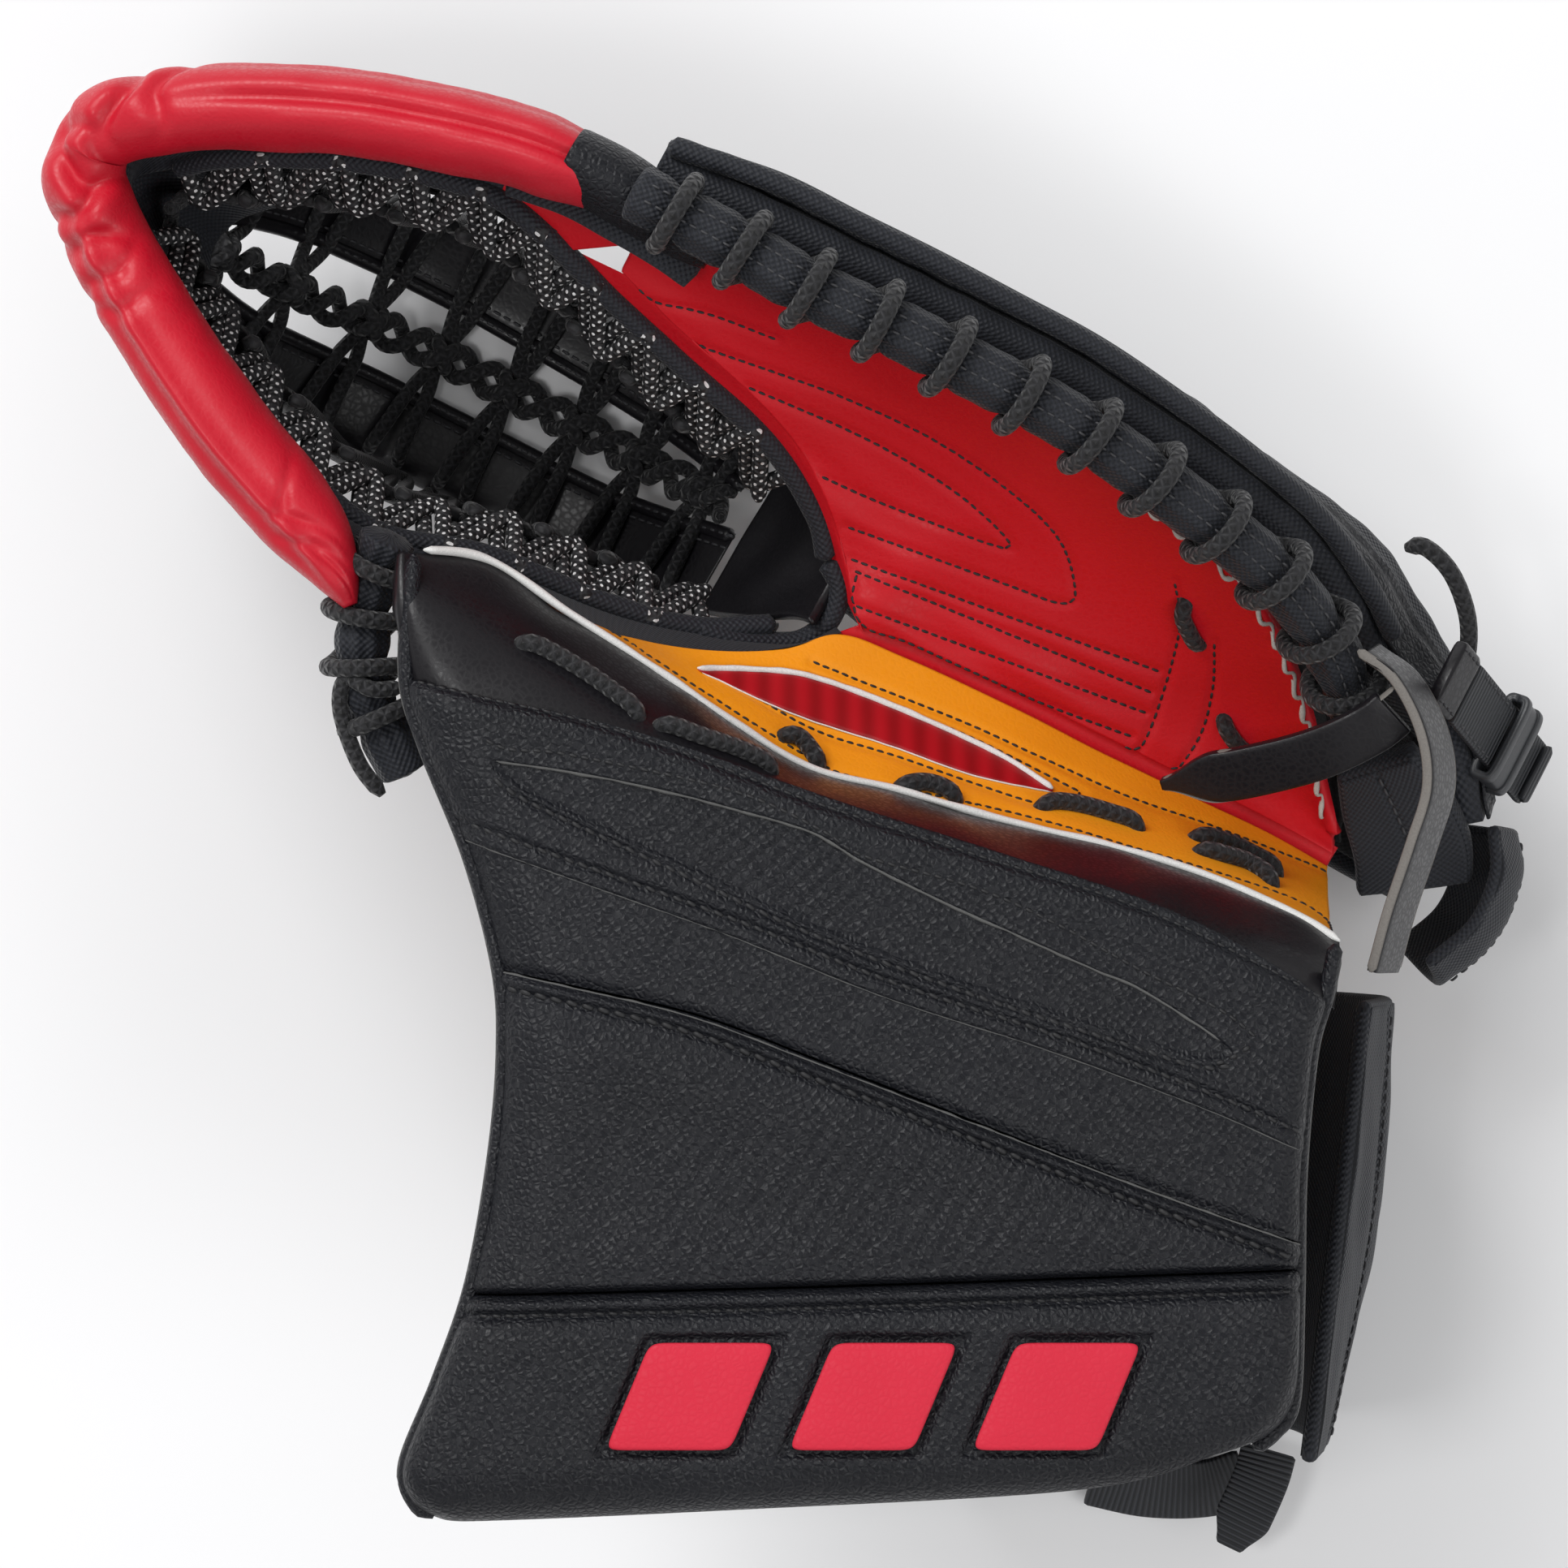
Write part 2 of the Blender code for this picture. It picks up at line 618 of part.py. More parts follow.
def make_heel():
    inner = [fold(-11, -4, 60), fold(-6, 2, 66), fold(2, 9, 74), fold(8, 15.5, 82)]
    outer = [fold(-31, 11, 66), fold(-25, 18, 74), fold(-15, 24, 82), fold(-3, 28, 90)]
    inner, outer = run(inner, 7), run(outer, 7)
    rows = []
    for v in (0.0, 0.3, 0.7, 1.0):
        rows.append([a.lerp(b, v) + UP * 4.0 * math.sin(math.pi * v) for a, b in zip(inner, outer)])
    sheet("heel_pad", rows, 8.0, "black_leather", UP)
    spine = [(-36.5, 28, 60), (-42.5, 18, 58), (-44.5, 3, 54), (-40, -12, 50)]
    middle = run([fold(*point) for point in spine], 8)
    rows = []
    for inward, rise in ((10, -32), (1.5, -14), (0, 0), (6, 13)):
        rows.append([point + ALONG * inward + UP * rise for point in middle])
    sheet("heel_flap", rows, 4.0, "black_nylon", -ALONG)


# ---------------------------------------------------------------- the rim and the pocket

RIM_FINGER = [(226, 48.3, 151.5), (233, 48, 151), (252, 44, 150), (279, 35, 147), (304, 23, 142),
              (318.5, 14, 138)]
RIM_CORNER = [(320.5, 12.5, 137.5), (328, 6, 134), (332.5, -1, 131), (330.5, -8.5, 129.5),
              (324.5, -14.8, 128)]
RIM_THUMB = [(322.5, -16.4, 127.6), (316, -21.5, 127), (294, -34, 127), (271, -45, 128), (249, -52, 130)]
POCKET_FINGER = [(314, 3, 112), (302, 12, 120), (276, 25, 126), (248, 33, 130), (231, 31.5, 130),
                 (212, 27, 120), (191, 22.5, 112), (165, 17.5, 101), (147, 9, 91), (139, 1, 86)]
POCKET_THUMB = [(314, -13, 108), (293, -26, 109), (265, -39, 109), (234, -46, 108), (208, -38, 104),
                (180, -34, 97), (158, -28, 89), (142, -18, 84)]
STRAP_FINGER = [(311, 7, 60), (293, 16, 31), (262, 21, 7), (230, 22, 2.6), (194, 21, 10), (166, 17, 34)]
STRAP_THUMB = [(311, -21, 56), (290, -25, 31), (258, -22, 7), (226, -20, 2.6), (192, -18, 10),
               (162, -13, 34)]
CHAIN = [(308, -7, 58), (286, -5, 34), (265, -2, 14), (245, 0, 6), (223, 1, 5), (199, 1.5, 11),
         (178, 2, 24), (167, 2, 36)]


def rim_roll(name, stations, count):
    path = run([fold(*point) for point in stations], count)
    return roll(name, path, side_of(path), RIM_WIDTH / 2, RIM_HEIGHT / 2, "red_leather", 12, 0.9)


def deeper(z):
    """A height in the pocket, graded to the pocket's depth below the rim."""
    rim = 120.0
    return rim - (rim - z) * POCKET_DEPTH / 114.0 if z < rim else z


def pocket(point):
    return fold(point[0], point[1], deeper(point[2]))


def net_side(name, edge, strap, inside, count=9):
    """One lace that runs to and fro between the pocket's edge and a strap."""
    top = run([pocket(point) for point in edge], 2 * count + 3)[1:-1]
    foot = run([pocket(point) for point in strap], 2 * count + 3)[1:-1]
    path = []
    for k in range(count):
        high, low = top[2 * k], foot[2 * k + 1]
        pull = UP * -(BINDING / 2 + LACE / 2 + 1.0)
        low = low + ACROSS * inside * (STRAP_WIDTH / 2 + LACE / 2 + 1.5) + UP * 5.0
        path += [high + pull, high.lerp(low, 0.55) + ACROSS * inside * 4.0, low]
        following = top[2 * k + 2] + pull
        path.append(low.lerp(following, 0.45) + ACROSS * inside * 4.0)
    lace(name, run(path, 4 * count + 14), LACE, "black_lace", 1)


def make_pocket():
    rim_roll("rim_finger_side", RIM_FINGER, 12)
    rim_roll("rim_corner", RIM_CORNER, 6)
    rim_roll("rim_thumb_side", RIM_THUMB, 12)
    for name, edge in (("pocket_binding_finger", POCKET_FINGER), ("pocket_binding_thumb", POCKET_THUMB)):
        lace(name, run([pocket(point) for point in edge], 22), BINDING, "black_nylon", 1)
    for name, stations in (("pocket_strap_finger", STRAP_FINGER), ("pocket_strap_thumb", STRAP_THUMB)):
        path = run([pocket(point) for point in stations], 14)
        ribbon(name, path, [ACROSS] * 14, STRAP_WIDTH, STRAP_LEATHER, "black_leather")
    lace("pocket_chain_lace", run([pocket(point) for point in CHAIN], 18), CHAIN_BRAID, "black_lace", 1)
    net_side("pocket_lacing_finger", POCKET_FINGER[:-1], STRAP_FINGER, 1.0)
    net_side("pocket_lacing_thumb", POCKET_THUMB[:-1], STRAP_THUMB, -1.0)
    rows = []
    for s, z, half in ((140, 78, 13), (147, 66, 17), (154, 53, 20), (160, 43, 22)):
        rows.append([pocket((s, -1 + half * v, z + 4 * v * v)) for v in (-1.0, -0.5, 0.0, 0.5, 1.0)])
    sheet("pocket_heel_patch", rows, WALL_LEATHER, "black_leather", ALONG)


# ---------------------------------------------------------------- the thumb's tip and stall

THUMB_TIP = [(-89.5, 57, 128), (-93.5, 48, 125), (-96, 37, 123), (-95.5, 22.9, 122), (-91, 12, 121),
             (-86, 2, 119)]


def make_thumb_tip():
    path = run([Vector(point) for point in THUMB_TIP], 14)
    roll("thumb_edge_roll", path, side_of(path), TIP_ROLL / 2, TIP_ROLL / 2, "black_nylon")
    per_turn, turns = 8, 4
    fine = run(path, per_turn * turns + 9)[4:-4]
    radius = TIP_ROLL / 2 + LACE / 2 + 2 * GAP
    coil = []
    for i, (point, across, way) in enumerate(zip(fine, side_of(fine), directions(fine))):
        angle = 2 * math.pi * i / per_turn
        rise = across.cross(way).normalized()
        coil.append(point + across * radius * math.cos(angle) + rise * radius * math.sin(angle))
    lace("thumb_tip_lacing", coil, LACE, "black_lace", 1)
    centre = Vector((-22, -20, PANEL_UNDERSIDE - GAP - THUMB_BAND_BORE / 2 - BAND_WALL))
    band("thumb_band", centre, Vector((-0.80, 0.60, 0.0)), UP, THUMB_BAND_BORE, "black_nylon",
         THUMB_BAND_WIDTH, 1.0)


# ---------------------------------------------------------------- the wrist and its straps

def cuff_sheet(name, lines, thickness, material, facing, down=9):
    """A sheet of the wrist tube. lines are runs of (y, x, z) down the cuff, one for each row."""
    rows = []
    for line in lines:
        first, last = line[0][0], line[-1][0]
        row = []
        for t in shares(down):
            y = first + (last - first) * t
            x, z = hermite(line, y)
            row.append(cuff(x, y, z))
        rows.append(row)
    return sheet(name, rows, thickness, material, facing)


def make_wrist():
    cuff_sheet("cuff_back_pad", [
        [(-162, 32, 4), (-100, 32, 4), (-52, 46, 4)],
        [(-162, 56, 0), (-100, 58, 0), (-52, 68, 0)],
        [(-162, 92, 0), (-100, 96, 0), (-52, 100, 0)],
        [(-162, 114, 4), (-100, 120, 4), (-52, 122, 4)],
    ], 10.0, "black_nylon", -UP)
    cuff_sheet("cuff_side_gusset", [
        [(-158, 31, PANEL_UNDERSIDE - 0.6), (-100, 32, PANEL_UNDERSIDE - 0.6),
         (-52, 44, PANEL_UNDERSIDE - 1.0)],
        [(-158, 20, 84), (-100, 20, 84), (-52, 34, 84)],
        [(-158, 19, 44), (-100, 19, 44), (-52, 33, 44)],
        [(-158, 27, 12), (-100, 27, 12), (-52, 41, 12)],
    ], 3.0, "black_nylon", Vector((-1, 0, 0)))
    cuff_sheet("wrist_flap", [
        [(-156, 122, 12), (-100, 128, 12), (-52, 130, 14)],
        [(-156, 128, 40), (-100, 139, 40), (-52, 141, 42)],
        [(-156, 129, 72), (-100, 141, 70), (-52, 145, 68)],
        [(-156, 124, 104), (-100, 131, 104), (-52, 137, 100)],
    ], 5.0, "black_nylon", Vector((1, 0, 0)))
    path = run([cuff(76, -171, 7), cuff(90, -174, 6), cuff(104, -174, 6), cuff(114, -171, 7)], 8)
    ribbon("cuff_back_strap", path, [Vector((0.0, 0.86, 0.5))] * 8, 17.0, 2.2, "black_nylon")
    path = run([cuff(119, -163.5, 16), cuff(117, -170, 17.5), cuff(113, -179, 18), cuff(109, -187, 17)], 7)
    ribbon("cuff_pull_tab", path, [Vector((1.0, 0.1, 0.0))] * 7, 14.0, 2.6, "black_nylon",
           [1.0, 1.0, 1.0, 1.0, 0.96, 0.8, 0.5])


LOOP_PATH = [(134.5, 30.5, 116), (142.5, 24, 117), (148.5, 12, 118), (150, 0, 118), (146.5, -13, 118),
             (141.5, -28, 117), (137.5, -43, 115)]
TAIL_PATH = [(139.5, 16.5, 119), (134.5, 12.5, 117), (126, 8.2, 114), (116, 5, 110), (106, 2.8, 106),
             (96, 1.2, 102), (88, 0.3, 98)]
STRAP_ROOM = Vector((2.0, 0.0, 2.0)) * ROLL_GROWTH   # keeps both straps clear of a thicker edge roll
STRAP_START = (-5.0, 48.0, 96.0)
STRAP_END = (-31.5, 41.5, 61.0)


def strap_frame():
    """The wrist strap's own directions: along it, across its width, and out from the backhand."""
    way = (fold(*STRAP_END) - fold(*STRAP_START)).normalized()
    wide = ACROSS * 0.8 - ALONG * 0.25 - UP * 0.55
    wide = (wide - way * wide.dot(way)).normalized()
    out = wide.cross(way).normalized()
    return way, wide, out if out.z > 0 else -out


def make_straps():
    path = run([graded(*point) + STRAP_ROOM for point in LOOP_PATH], 16)
    ribbon("leather_strap_loop", path, [Vector((-0.42, 0.0, 0.9))] * 16, LOOP_WIDTH, TAIL_LEATHER,
           "black_leather")
    path = run([graded(*point) + STRAP_ROOM for point in TAIL_PATH], 14)
    taper = [1.0] * 10 + [0.92, 0.78, 0.55, 0.25]
    ribbon("strap_tail", path, [Vector((0.0, 0.88, 0.48))] * 14, TAIL_WIDTH, TAIL_LEATHER,
           "black_leather", taper)
    start, end = fold(*STRAP_START), fold(*STRAP_END)
    way, wide, out = strap_frame()
    ribbon("wrist_strap", [start.lerp(end, t) for t in shares(6)], [wide] * 6, WRIST_STRAP_WIDTH,
           WEBBING, "black_nylon")
    make_buckle(start.lerp(end, 0.62), way, wide, out)
    anchor = [start - way * 2.5, start - way * 11.5]
    ribbon("strap_anchor", anchor, [wide] * 2, WRIST_STRAP_WIDTH + 1.0, 3.4, "black_leather")


def make_buckle(centre, way, wide, out):
    """A plastic keeper on the webbing: a flat frame with one slot that the webbing runs through."""
    frame = bmesh.new()
    rings = []
    half_slot = (WRIST_STRAP_WIDTH / 2 + 0.6, WEBBING / 2 + 0.5)
    half_body = (half_slot[0] + 3.0, half_slot[1] + 1.8)
    for half in (half_slot, half_body):
        for shift in (-BUCKLE_LENGTH / 2, BUCKLE_LENGTH / 2):
            rings.append([
                frame.verts.new((centre + way * shift + wide * a * half[0] + out * b * half[1]) * MM)
                for a, b in ((1, 1), (1, -1), (-1, -1), (-1, 1))
            ])
    slot_low, slot_high, body_low, body_high = rings
    for k in range(4):
        n = (k + 1) % 4
        frame.faces.new((slot_low[k], slot_low[n], slot_high[n], slot_high[k]))
        frame.faces.new((body_low[n], body_low[k], body_high[k], body_high[n]))
        frame.faces.new((slot_low[n], slot_low[k], body_low[k], body_low[n]))
        frame.faces.new((slot_high[k], slot_high[n], body_high[n], body_high[k]))
    bmesh.ops.recalc_face_normals(frame, faces=frame.faces)
    mesh = bpy.data.meshes.new("wrist_buckle")
    frame.to_mesh(mesh)
    frame.free()
    add("wrist_buckle", mesh, "black_plastic")


# ---------------------------------------------------------------- small trim on the panel

EMBLEM_BARS = ("emblem_bar_left", "emblem_bar_centre", "emblem_bar_right")


def make_trim():
    """The edge bindings of the panel and the three slanted bars of its emblem."""
    for name, edge, side in (("cuff_binding_left", LEFT_EDGE[1:-2], 1.0),
                             ("cuff_binding_right", RIGHT_EDGE[1:-1], -1.0)):
        path = run([cuff(x + side * BINDING / 2, y, PANEL_TOP - 9.0) for y, x in edge], 20)
        lace(name, path, BINDING, "black_leather", 1)
    face = PANEL_TOP + LOWER_PAD_PROUD + GAP
    for k, name in enumerate(EMBLEM_BARS):
        left = -40.0 + 41.0 * k
        outline = [(left, -149), (left + 28, -149), (left + 38, -125), (left + 10, -125)]
        low = [cuff(x, y, face) for x, y in outline]
        skin(name, [low, [point + UP * EMBLEM_RAISE for point in low]], "red_leather", 40.0)


# ---------------------------------------------------------------- joints and the origin

BREAK_AXIS_Z = (64.0, 0.2)  # height of the break's axis at the heel, and its rise along the break

FINGER_SIDE = (
    "palm_leather", "palm_foam", "finger_band_index", "finger_band_middle", "finger_band_ring",
    "finger_band_little", "finger_edge_roll", "finger_edge_lacing", "backhand_shell", "backhand_liner",
    "backhand_binding", "backhand_lace_loop", "heel_pad", "heel_flap", "rim_finger_side",
    "pocket_binding_finger", "pocket_strap_finger", "pocket_lacing_finger", "strap_anchor",
)


pivots = {}                 # each joint's own place, by name


def pivot(name, position, axis, hung, parent=None):
    """An empty on a joint's axis, with its own Z along it, and the pieces that turn or slide with it."""
    empty = bpy.data.objects.new(name, None)
    bpy.context.scene.collection.objects.link(empty)
    empty.empty_display_size = 0.02
    turn = axis.to_track_quat("Z", "Y").to_matrix().to_4x4()
    place = Matrix.Translation(position * MM) @ turn
    if parent:
        empty.parent = parent
        place_in_parent = pivots[parent.name].inverted() @ place
        empty.matrix_basis = place_in_parent
    else:
        empty.matrix_basis = place
    pivots[name] = place
    for item in hung:
        piece = bpy.data.objects[item]
        world = Matrix.Translation(piece.location)
        piece.parent = empty
        piece.matrix_parent_inverse = Matrix.Identity(4)
        piece.matrix_basis = place.inverted() @ world
    return empty


def make_joints():
    axis = -(ALONG + UP * BREAK_AXIS_Z[1]).normalized()
    break_pivot = pivot("palm_break_pivot", fold(0, 0, BREAK_AXIS_Z[0]), axis, FINGER_SIDE)
    way, wide, out = strap_frame()
    strap_pivot = pivot("wrist_strap_pivot", fold(*STRAP_START), wide, ("wrist_strap",), break_pivot)
    middle = fold(*STRAP_START).lerp(fold(*STRAP_END), 0.62)
    pivot("wrist_buckle_guide", middle, way, ("wrist_buckle",), strap_pivot)
    root = graded(*TAIL_PATH[0]) + STRAP_ROOM
    pivot("strap_tail_pivot", root, Vector((0.0, 1.0, 0.0)), ("strap_tail",), break_pivot)


def stand_on_origin():
    """Move the whole glove so that the middle of its box's underside is the origin."""
    bpy.context.view_layer.update()
    depsgraph = bpy.context.evaluated_depsgraph_get()
    corners = []
    for item in bpy.data.objects:
        if item.type == "EMPTY":
            continue
        mesh = item.evaluated_get(depsgraph).to_mesh()
        corners += [item.matrix_world @ vertex.co for vertex in mesh.vertices]
        item.evaluated_get(depsgraph).to_mesh_clear()
    low = [min(co[k] for co in corners) for k in range(3)]
    high = [max(co[k] for co in corners) for k in range(3)]
    shift = Vector(((low[0] + high[0]) / 2, (low[1] + high[1]) / 2, low[2]))
    for item in bpy.data.objects:
        if item.parent is None:
            item.location -= shift


# ---------------------------------------------------------------- the whole glove

def main():
    clear_scene()
    make_panel()
    make_thumb_wall()
    make_gold_band()
    make_palm()
    make_finger_bands()
    make_finger_edge()
    make_backhand()
    make_heel()
    make_pocket()
    make_thumb_tip()
    make_wrist()
    make_straps()
    make_trim()
    make_joints()
    stand_on_origin()


main()
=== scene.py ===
"""Looks of a goalie's catch glove lying on its back: leather, laces, webbing and padding on the CAD."""

import bpy
import numpy as np
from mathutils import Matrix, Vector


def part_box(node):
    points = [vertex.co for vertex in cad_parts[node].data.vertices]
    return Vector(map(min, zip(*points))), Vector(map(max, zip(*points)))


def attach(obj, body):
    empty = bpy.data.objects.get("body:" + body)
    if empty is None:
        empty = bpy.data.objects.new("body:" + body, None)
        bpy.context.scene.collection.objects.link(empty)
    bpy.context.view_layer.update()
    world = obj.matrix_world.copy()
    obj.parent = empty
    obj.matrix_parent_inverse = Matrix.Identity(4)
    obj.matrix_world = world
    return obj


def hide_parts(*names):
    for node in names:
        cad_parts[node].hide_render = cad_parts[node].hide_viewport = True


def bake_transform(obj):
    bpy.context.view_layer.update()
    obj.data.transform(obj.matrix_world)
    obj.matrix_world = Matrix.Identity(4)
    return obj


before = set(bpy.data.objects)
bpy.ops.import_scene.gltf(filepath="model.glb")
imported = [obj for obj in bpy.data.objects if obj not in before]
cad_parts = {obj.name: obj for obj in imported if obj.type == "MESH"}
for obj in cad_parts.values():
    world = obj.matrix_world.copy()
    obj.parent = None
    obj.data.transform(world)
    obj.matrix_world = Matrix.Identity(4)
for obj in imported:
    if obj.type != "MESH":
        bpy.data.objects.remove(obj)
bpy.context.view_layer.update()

# ---------------------------------------------------------------- floor, light and camera
# A plain pale floor under the glove, a pale room, two large soft lamps and one small one for the sheen,
# and a camera straight above that looks down on the palm and the cuff.

# The glove's pattern is drawn in millimetres; the emblem's left bar ties it to the frame.
PATTERN_ZERO = np.array(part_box("emblem_bar_left")[0]) * 1000 - np.array([-40.0, -149.0, 152.4])


def place(points):
    """Pattern points in millimetres to points of the frame in metres."""
    return (np.asarray(points, float) + PATTERN_ZERO) / 1000


def finish_material(name, colour, roughness):
    """A new material with its Principled shader set, and its nodes, links and shader."""
    made = bpy.data.materials.new(name)
    made.use_nodes = True
    tree = made.node_tree
    shader = tree.nodes["Principled BSDF"]
    shader.inputs["Base Color"].default_value = (*colour, 1)
    shader.inputs["Roughness"].default_value = roughness
    return made, tree, shader


floor_mesh = bpy.data.meshes.new("floor")
floor_mesh.from_pydata([(-4, -4, 0), (4, -4, 0), (4, 4, 0), (-4, 4, 0)], [], [(0, 1, 2, 3)])
floor = bpy.data.objects.new("floor", floor_mesh)
bpy.context.scene.collection.objects.link(floor)
floor_mesh.materials.append(finish_material("floor_paper", (0.86, 0.86, 0.87), 0.9)[0])

room = bpy.data.worlds.new("room")
room.use_nodes = True
room.node_tree.nodes["Background"].inputs["Color"].default_value = (1.0, 1.0, 1.0, 1)
room.node_tree.nodes["Background"].inputs["Strength"].default_value = 0.45
bpy.context.scene.world = room
bpy.context.scene.view_settings.view_transform = "Standard"


def softbox(name, position, target, size, power):
    """A square area lamp at a position, turned to a target."""
    lamp = bpy.data.lights.new(name, "AREA")
    lamp.shape = "SQUARE"
    lamp.size = size
    lamp.energy = power
    made = bpy.data.objects.new(name, lamp)
    bpy.context.scene.collection.objects.link(made)
    made.location = position
    made.rotation_mode = "QUATERNION"
    way = Vector(target) - Vector(position)
    made.rotation_quaternion = way.to_track_quat("-Z", "Y")


softbox("key_light", (-0.75, 1.0, 1.2), (0, 0, 0.1), 0.9, 20.0)
softbox("fill_light", (1.05, -0.8, 1.1), (0, 0, 0.1), 1.1, 9.0)
softbox("sheen_light", (-0.40, -0.12, 1.30), (-0.02, -0.04, 0.1), 0.26, 3.4)

CAMERA_HEIGHT = 1550.0      # above the pattern's floor
camera_data = bpy.data.cameras.new("camera")
camera_data.lens = 143.5
camera_data.sensor_width = 36.0
camera_data.clip_end = 50
camera = bpy.data.objects.new("camera", camera_data)
bpy.context.scene.collection.objects.link(camera)
camera.location = place((0, 0, CAMERA_HEIGHT))
bpy.context.scene.camera = camera

# ---------------------------------------------------------------- cuff panel: three leather pads
# The broad face of the cuff and thumb: pebbled blue-black leather over foam, in three pads joined by sewn
# seams, with a sunken spear-shaped window, a pressed row of slanted stripes and a recess round each bar
# of the emblem. The pads are firm foam, shaped here by their seams.


def smooth(points, count):
    """count points spaced evenly along the Catmull-Rom curve through the given ones.

    The first three columns are the place; any more are values carried along.
    """
    given = np.asarray(points, float)
    around = np.vstack([2 * given[0] - given[1], given, 2 * given[-1] - given[-2]])
    t = np.linspace(0, 1, 20, endpoint=False)[None, :, None]
    a, b, c, d = (around[k:len(around) - 3 + k, None, :] for k in range(4))
    spans = 0.5 * (2 * b + (c - a) * t + (2 * a - 5 * b + 4 * c - d) * t**2 + (3 * b - a - 3 * c + d) * t**3)
    fine = np.vstack([spans.reshape(-1, given.shape[1]), given[-1]])
    steps = np.linalg.norm(np.diff(fine[:, :3], axis=0), axis=1)
    length = np.concatenate([[0.0], np.cumsum(steps)])
    at = np.linspace(0, length[-1], count)
    return np.stack([np.interp(at, length, column) for column in fine.T], axis=1)


def unit(vectors):
    """Each vector divided by its length."""
    return vectors / np.maximum(np.linalg.norm(vectors, axis=-1, keepdims=True), 1e-9)


def lattice(rows, columns):
    """Quads of a grid of points, row by row, and each corner's (row, column) before it wraps round."""
    i, j = np.meshgrid(np.arange(rows - 1), np.arange(columns), indexing="ij")
    steps = ((0, 0), (0, 1), (1, 1), (1, 0))
    corners = np.stack([np.stack([i.ravel() + a, j.ravel() + b], 1) for a, b in steps], 1)
    return corners[..., 0] * columns + corners[..., 1] % columns, corners


def tube(rings, along=None):
    """A closed body through rings of points (rows x columns x 3), as (points, quads, uv of each corner).

    Its uv is in millimetres: u along the rows and v round the ring. Each end is closed by a strip of quads.
    """
    rows, columns = rings.shape[:2]
    quads, corners = lattice(rows, columns)
    middle = rings.mean(axis=1)
    if along is None:
        along = np.concatenate([[0.0], np.cumsum(np.linalg.norm(np.diff(middle, axis=0), axis=1))])
    ring = rings[rows // 2]
    steps = np.linalg.norm(np.roll(ring, -1, axis=0) - ring, axis=1)
    around = np.concatenate([[0.0], np.cumsum(steps)])
    uv = np.stack([along[corners[..., 0]], around[corners[..., 1]]], axis=-1)
    k = np.arange(columns // 2 - 1)
    strip = np.stack([k, columns - 1 - k, columns - 2 - k, k + 1], axis=1)
    ends = np.vstack([strip, (strip + (rows - 1) * columns)[:, ::-1]])
    end_uv = np.stack([np.repeat(along[[0, -1]], len(k))[:, None] + np.zeros((1, 4)),
                       around[ends % columns]], axis=-1)
    return rings.reshape(-1, 3), np.vstack([quads, ends]), np.vstack([uv, end_uv])


def piece(name, parts, materials):
    """A mesh object of several bodies. parts are (body, material number) pairs or plain bodies."""
    points, quads, uvs, slots = [], [], [], []
    shift = 0
    for part in parts:
        body, slot = part if isinstance(part[1], int) else (part, 0)
        points.append(body[0])
        quads.append(body[1] + shift)
        uvs.append(body[2])
        slots.append(np.full(len(body[1]), slot))
        shift += len(body[0])
    points = place(np.vstack(points)).astype(np.float32)
    quads = np.vstack(quads).astype(np.int32)
    mesh = bpy.data.meshes.new(name)
    mesh.vertices.add(len(points))
    mesh.vertices.foreach_set("co", points.ravel())
    mesh.loops.add(quads.size)
    mesh.loops.foreach_set("vertex_index", quads.ravel())
    mesh.polygons.add(len(quads))
    mesh.polygons.foreach_set("loop_start", np.arange(0, quads.size, 4, dtype=np.int32))
    mesh.polygons.foreach_set("material_index", np.concatenate(slots).astype(np.int32))
    layer = mesh.uv_layers.new(name="layout")
    layer.data.foreach_set("uv", np.vstack(uvs).astype(np.float32).ravel())
    mesh.update(calc_edges=True)
    mesh.validate()
    mesh.shade_smooth()
    for material in materials if isinstance(materials, (list, tuple)) else [materials]:
        mesh.materials.append(material)
    made = bpy.data.objects.new(name, mesh)
    bpy.context.scene.collection.objects.link(made)
    return made


def shell(top, bottom, edge=0.0):
    """Rings for a closed sheet between two grids (rows x columns x 3), its side edges rounded out by edge."""
    left = (top[:, 0] + bottom[:, 0]) / 2 + unit(top[:, 0] - top[:, 1]) * edge
    right = (top[:, -1] + bottom[:, -1]) / 2 + unit(top[:, -1] - top[:, -2]) * edge
    return np.concatenate([top, right[:, None], bottom[:, ::-1], left[:, None]], axis=1)


def bumps(points, size, seed, waves=9):
    """A smooth uneven height, about -1 to 1: the mean of sine waves in seeded random directions."""
    draw = np.random.default_rng(seed)
    total = np.zeros(points.shape[:-1])
    for _ in range(waves):
        way = unit(draw.normal(size=3)) / (size * draw.uniform(0.6, 1.6))
        total += np.sin(points @ way * 2 * np.pi + draw.uniform(0, 2 * np.pi))
    return total / waves * 1.8


LEFT_EDGE = [(-78, -166.5), (-84.5, -162), (-86.5, -153), (-79, -134), (-71.5, -112), (-66.5, -84),
             (-64.5, -61), (-65.5, -42), (-72, -17), (-82, 8), (-86.5, 24.5), (-85, 52)]
RIGHT_EDGE = [(106, -150.5), (112, -146), (116, -139), (117, -115), (117.5, -88), (120, -61),
              (123.5, -48), (126, -36)]
HEM = [(-86, -163), (-78, -166.5), (0, -163.5), (75, -159), (106, -150.5), (117, -143)]
LOWER_SEAM = [(-75, -115), (20, -112.5), (118, -109)]
MIDDLE_SEAM = [(-67, -41.3), (-48, -45.5), (-21, -52), (6, -62), (42.5, -76), (79, -90), (118, -104)]
DOUBLE_SEAM = [(-72, -8.5), (-48.4, -17), (-12, -30), (24.4, -44.4), (60.7, -56.2), (97, -69.8), (120, -80)]
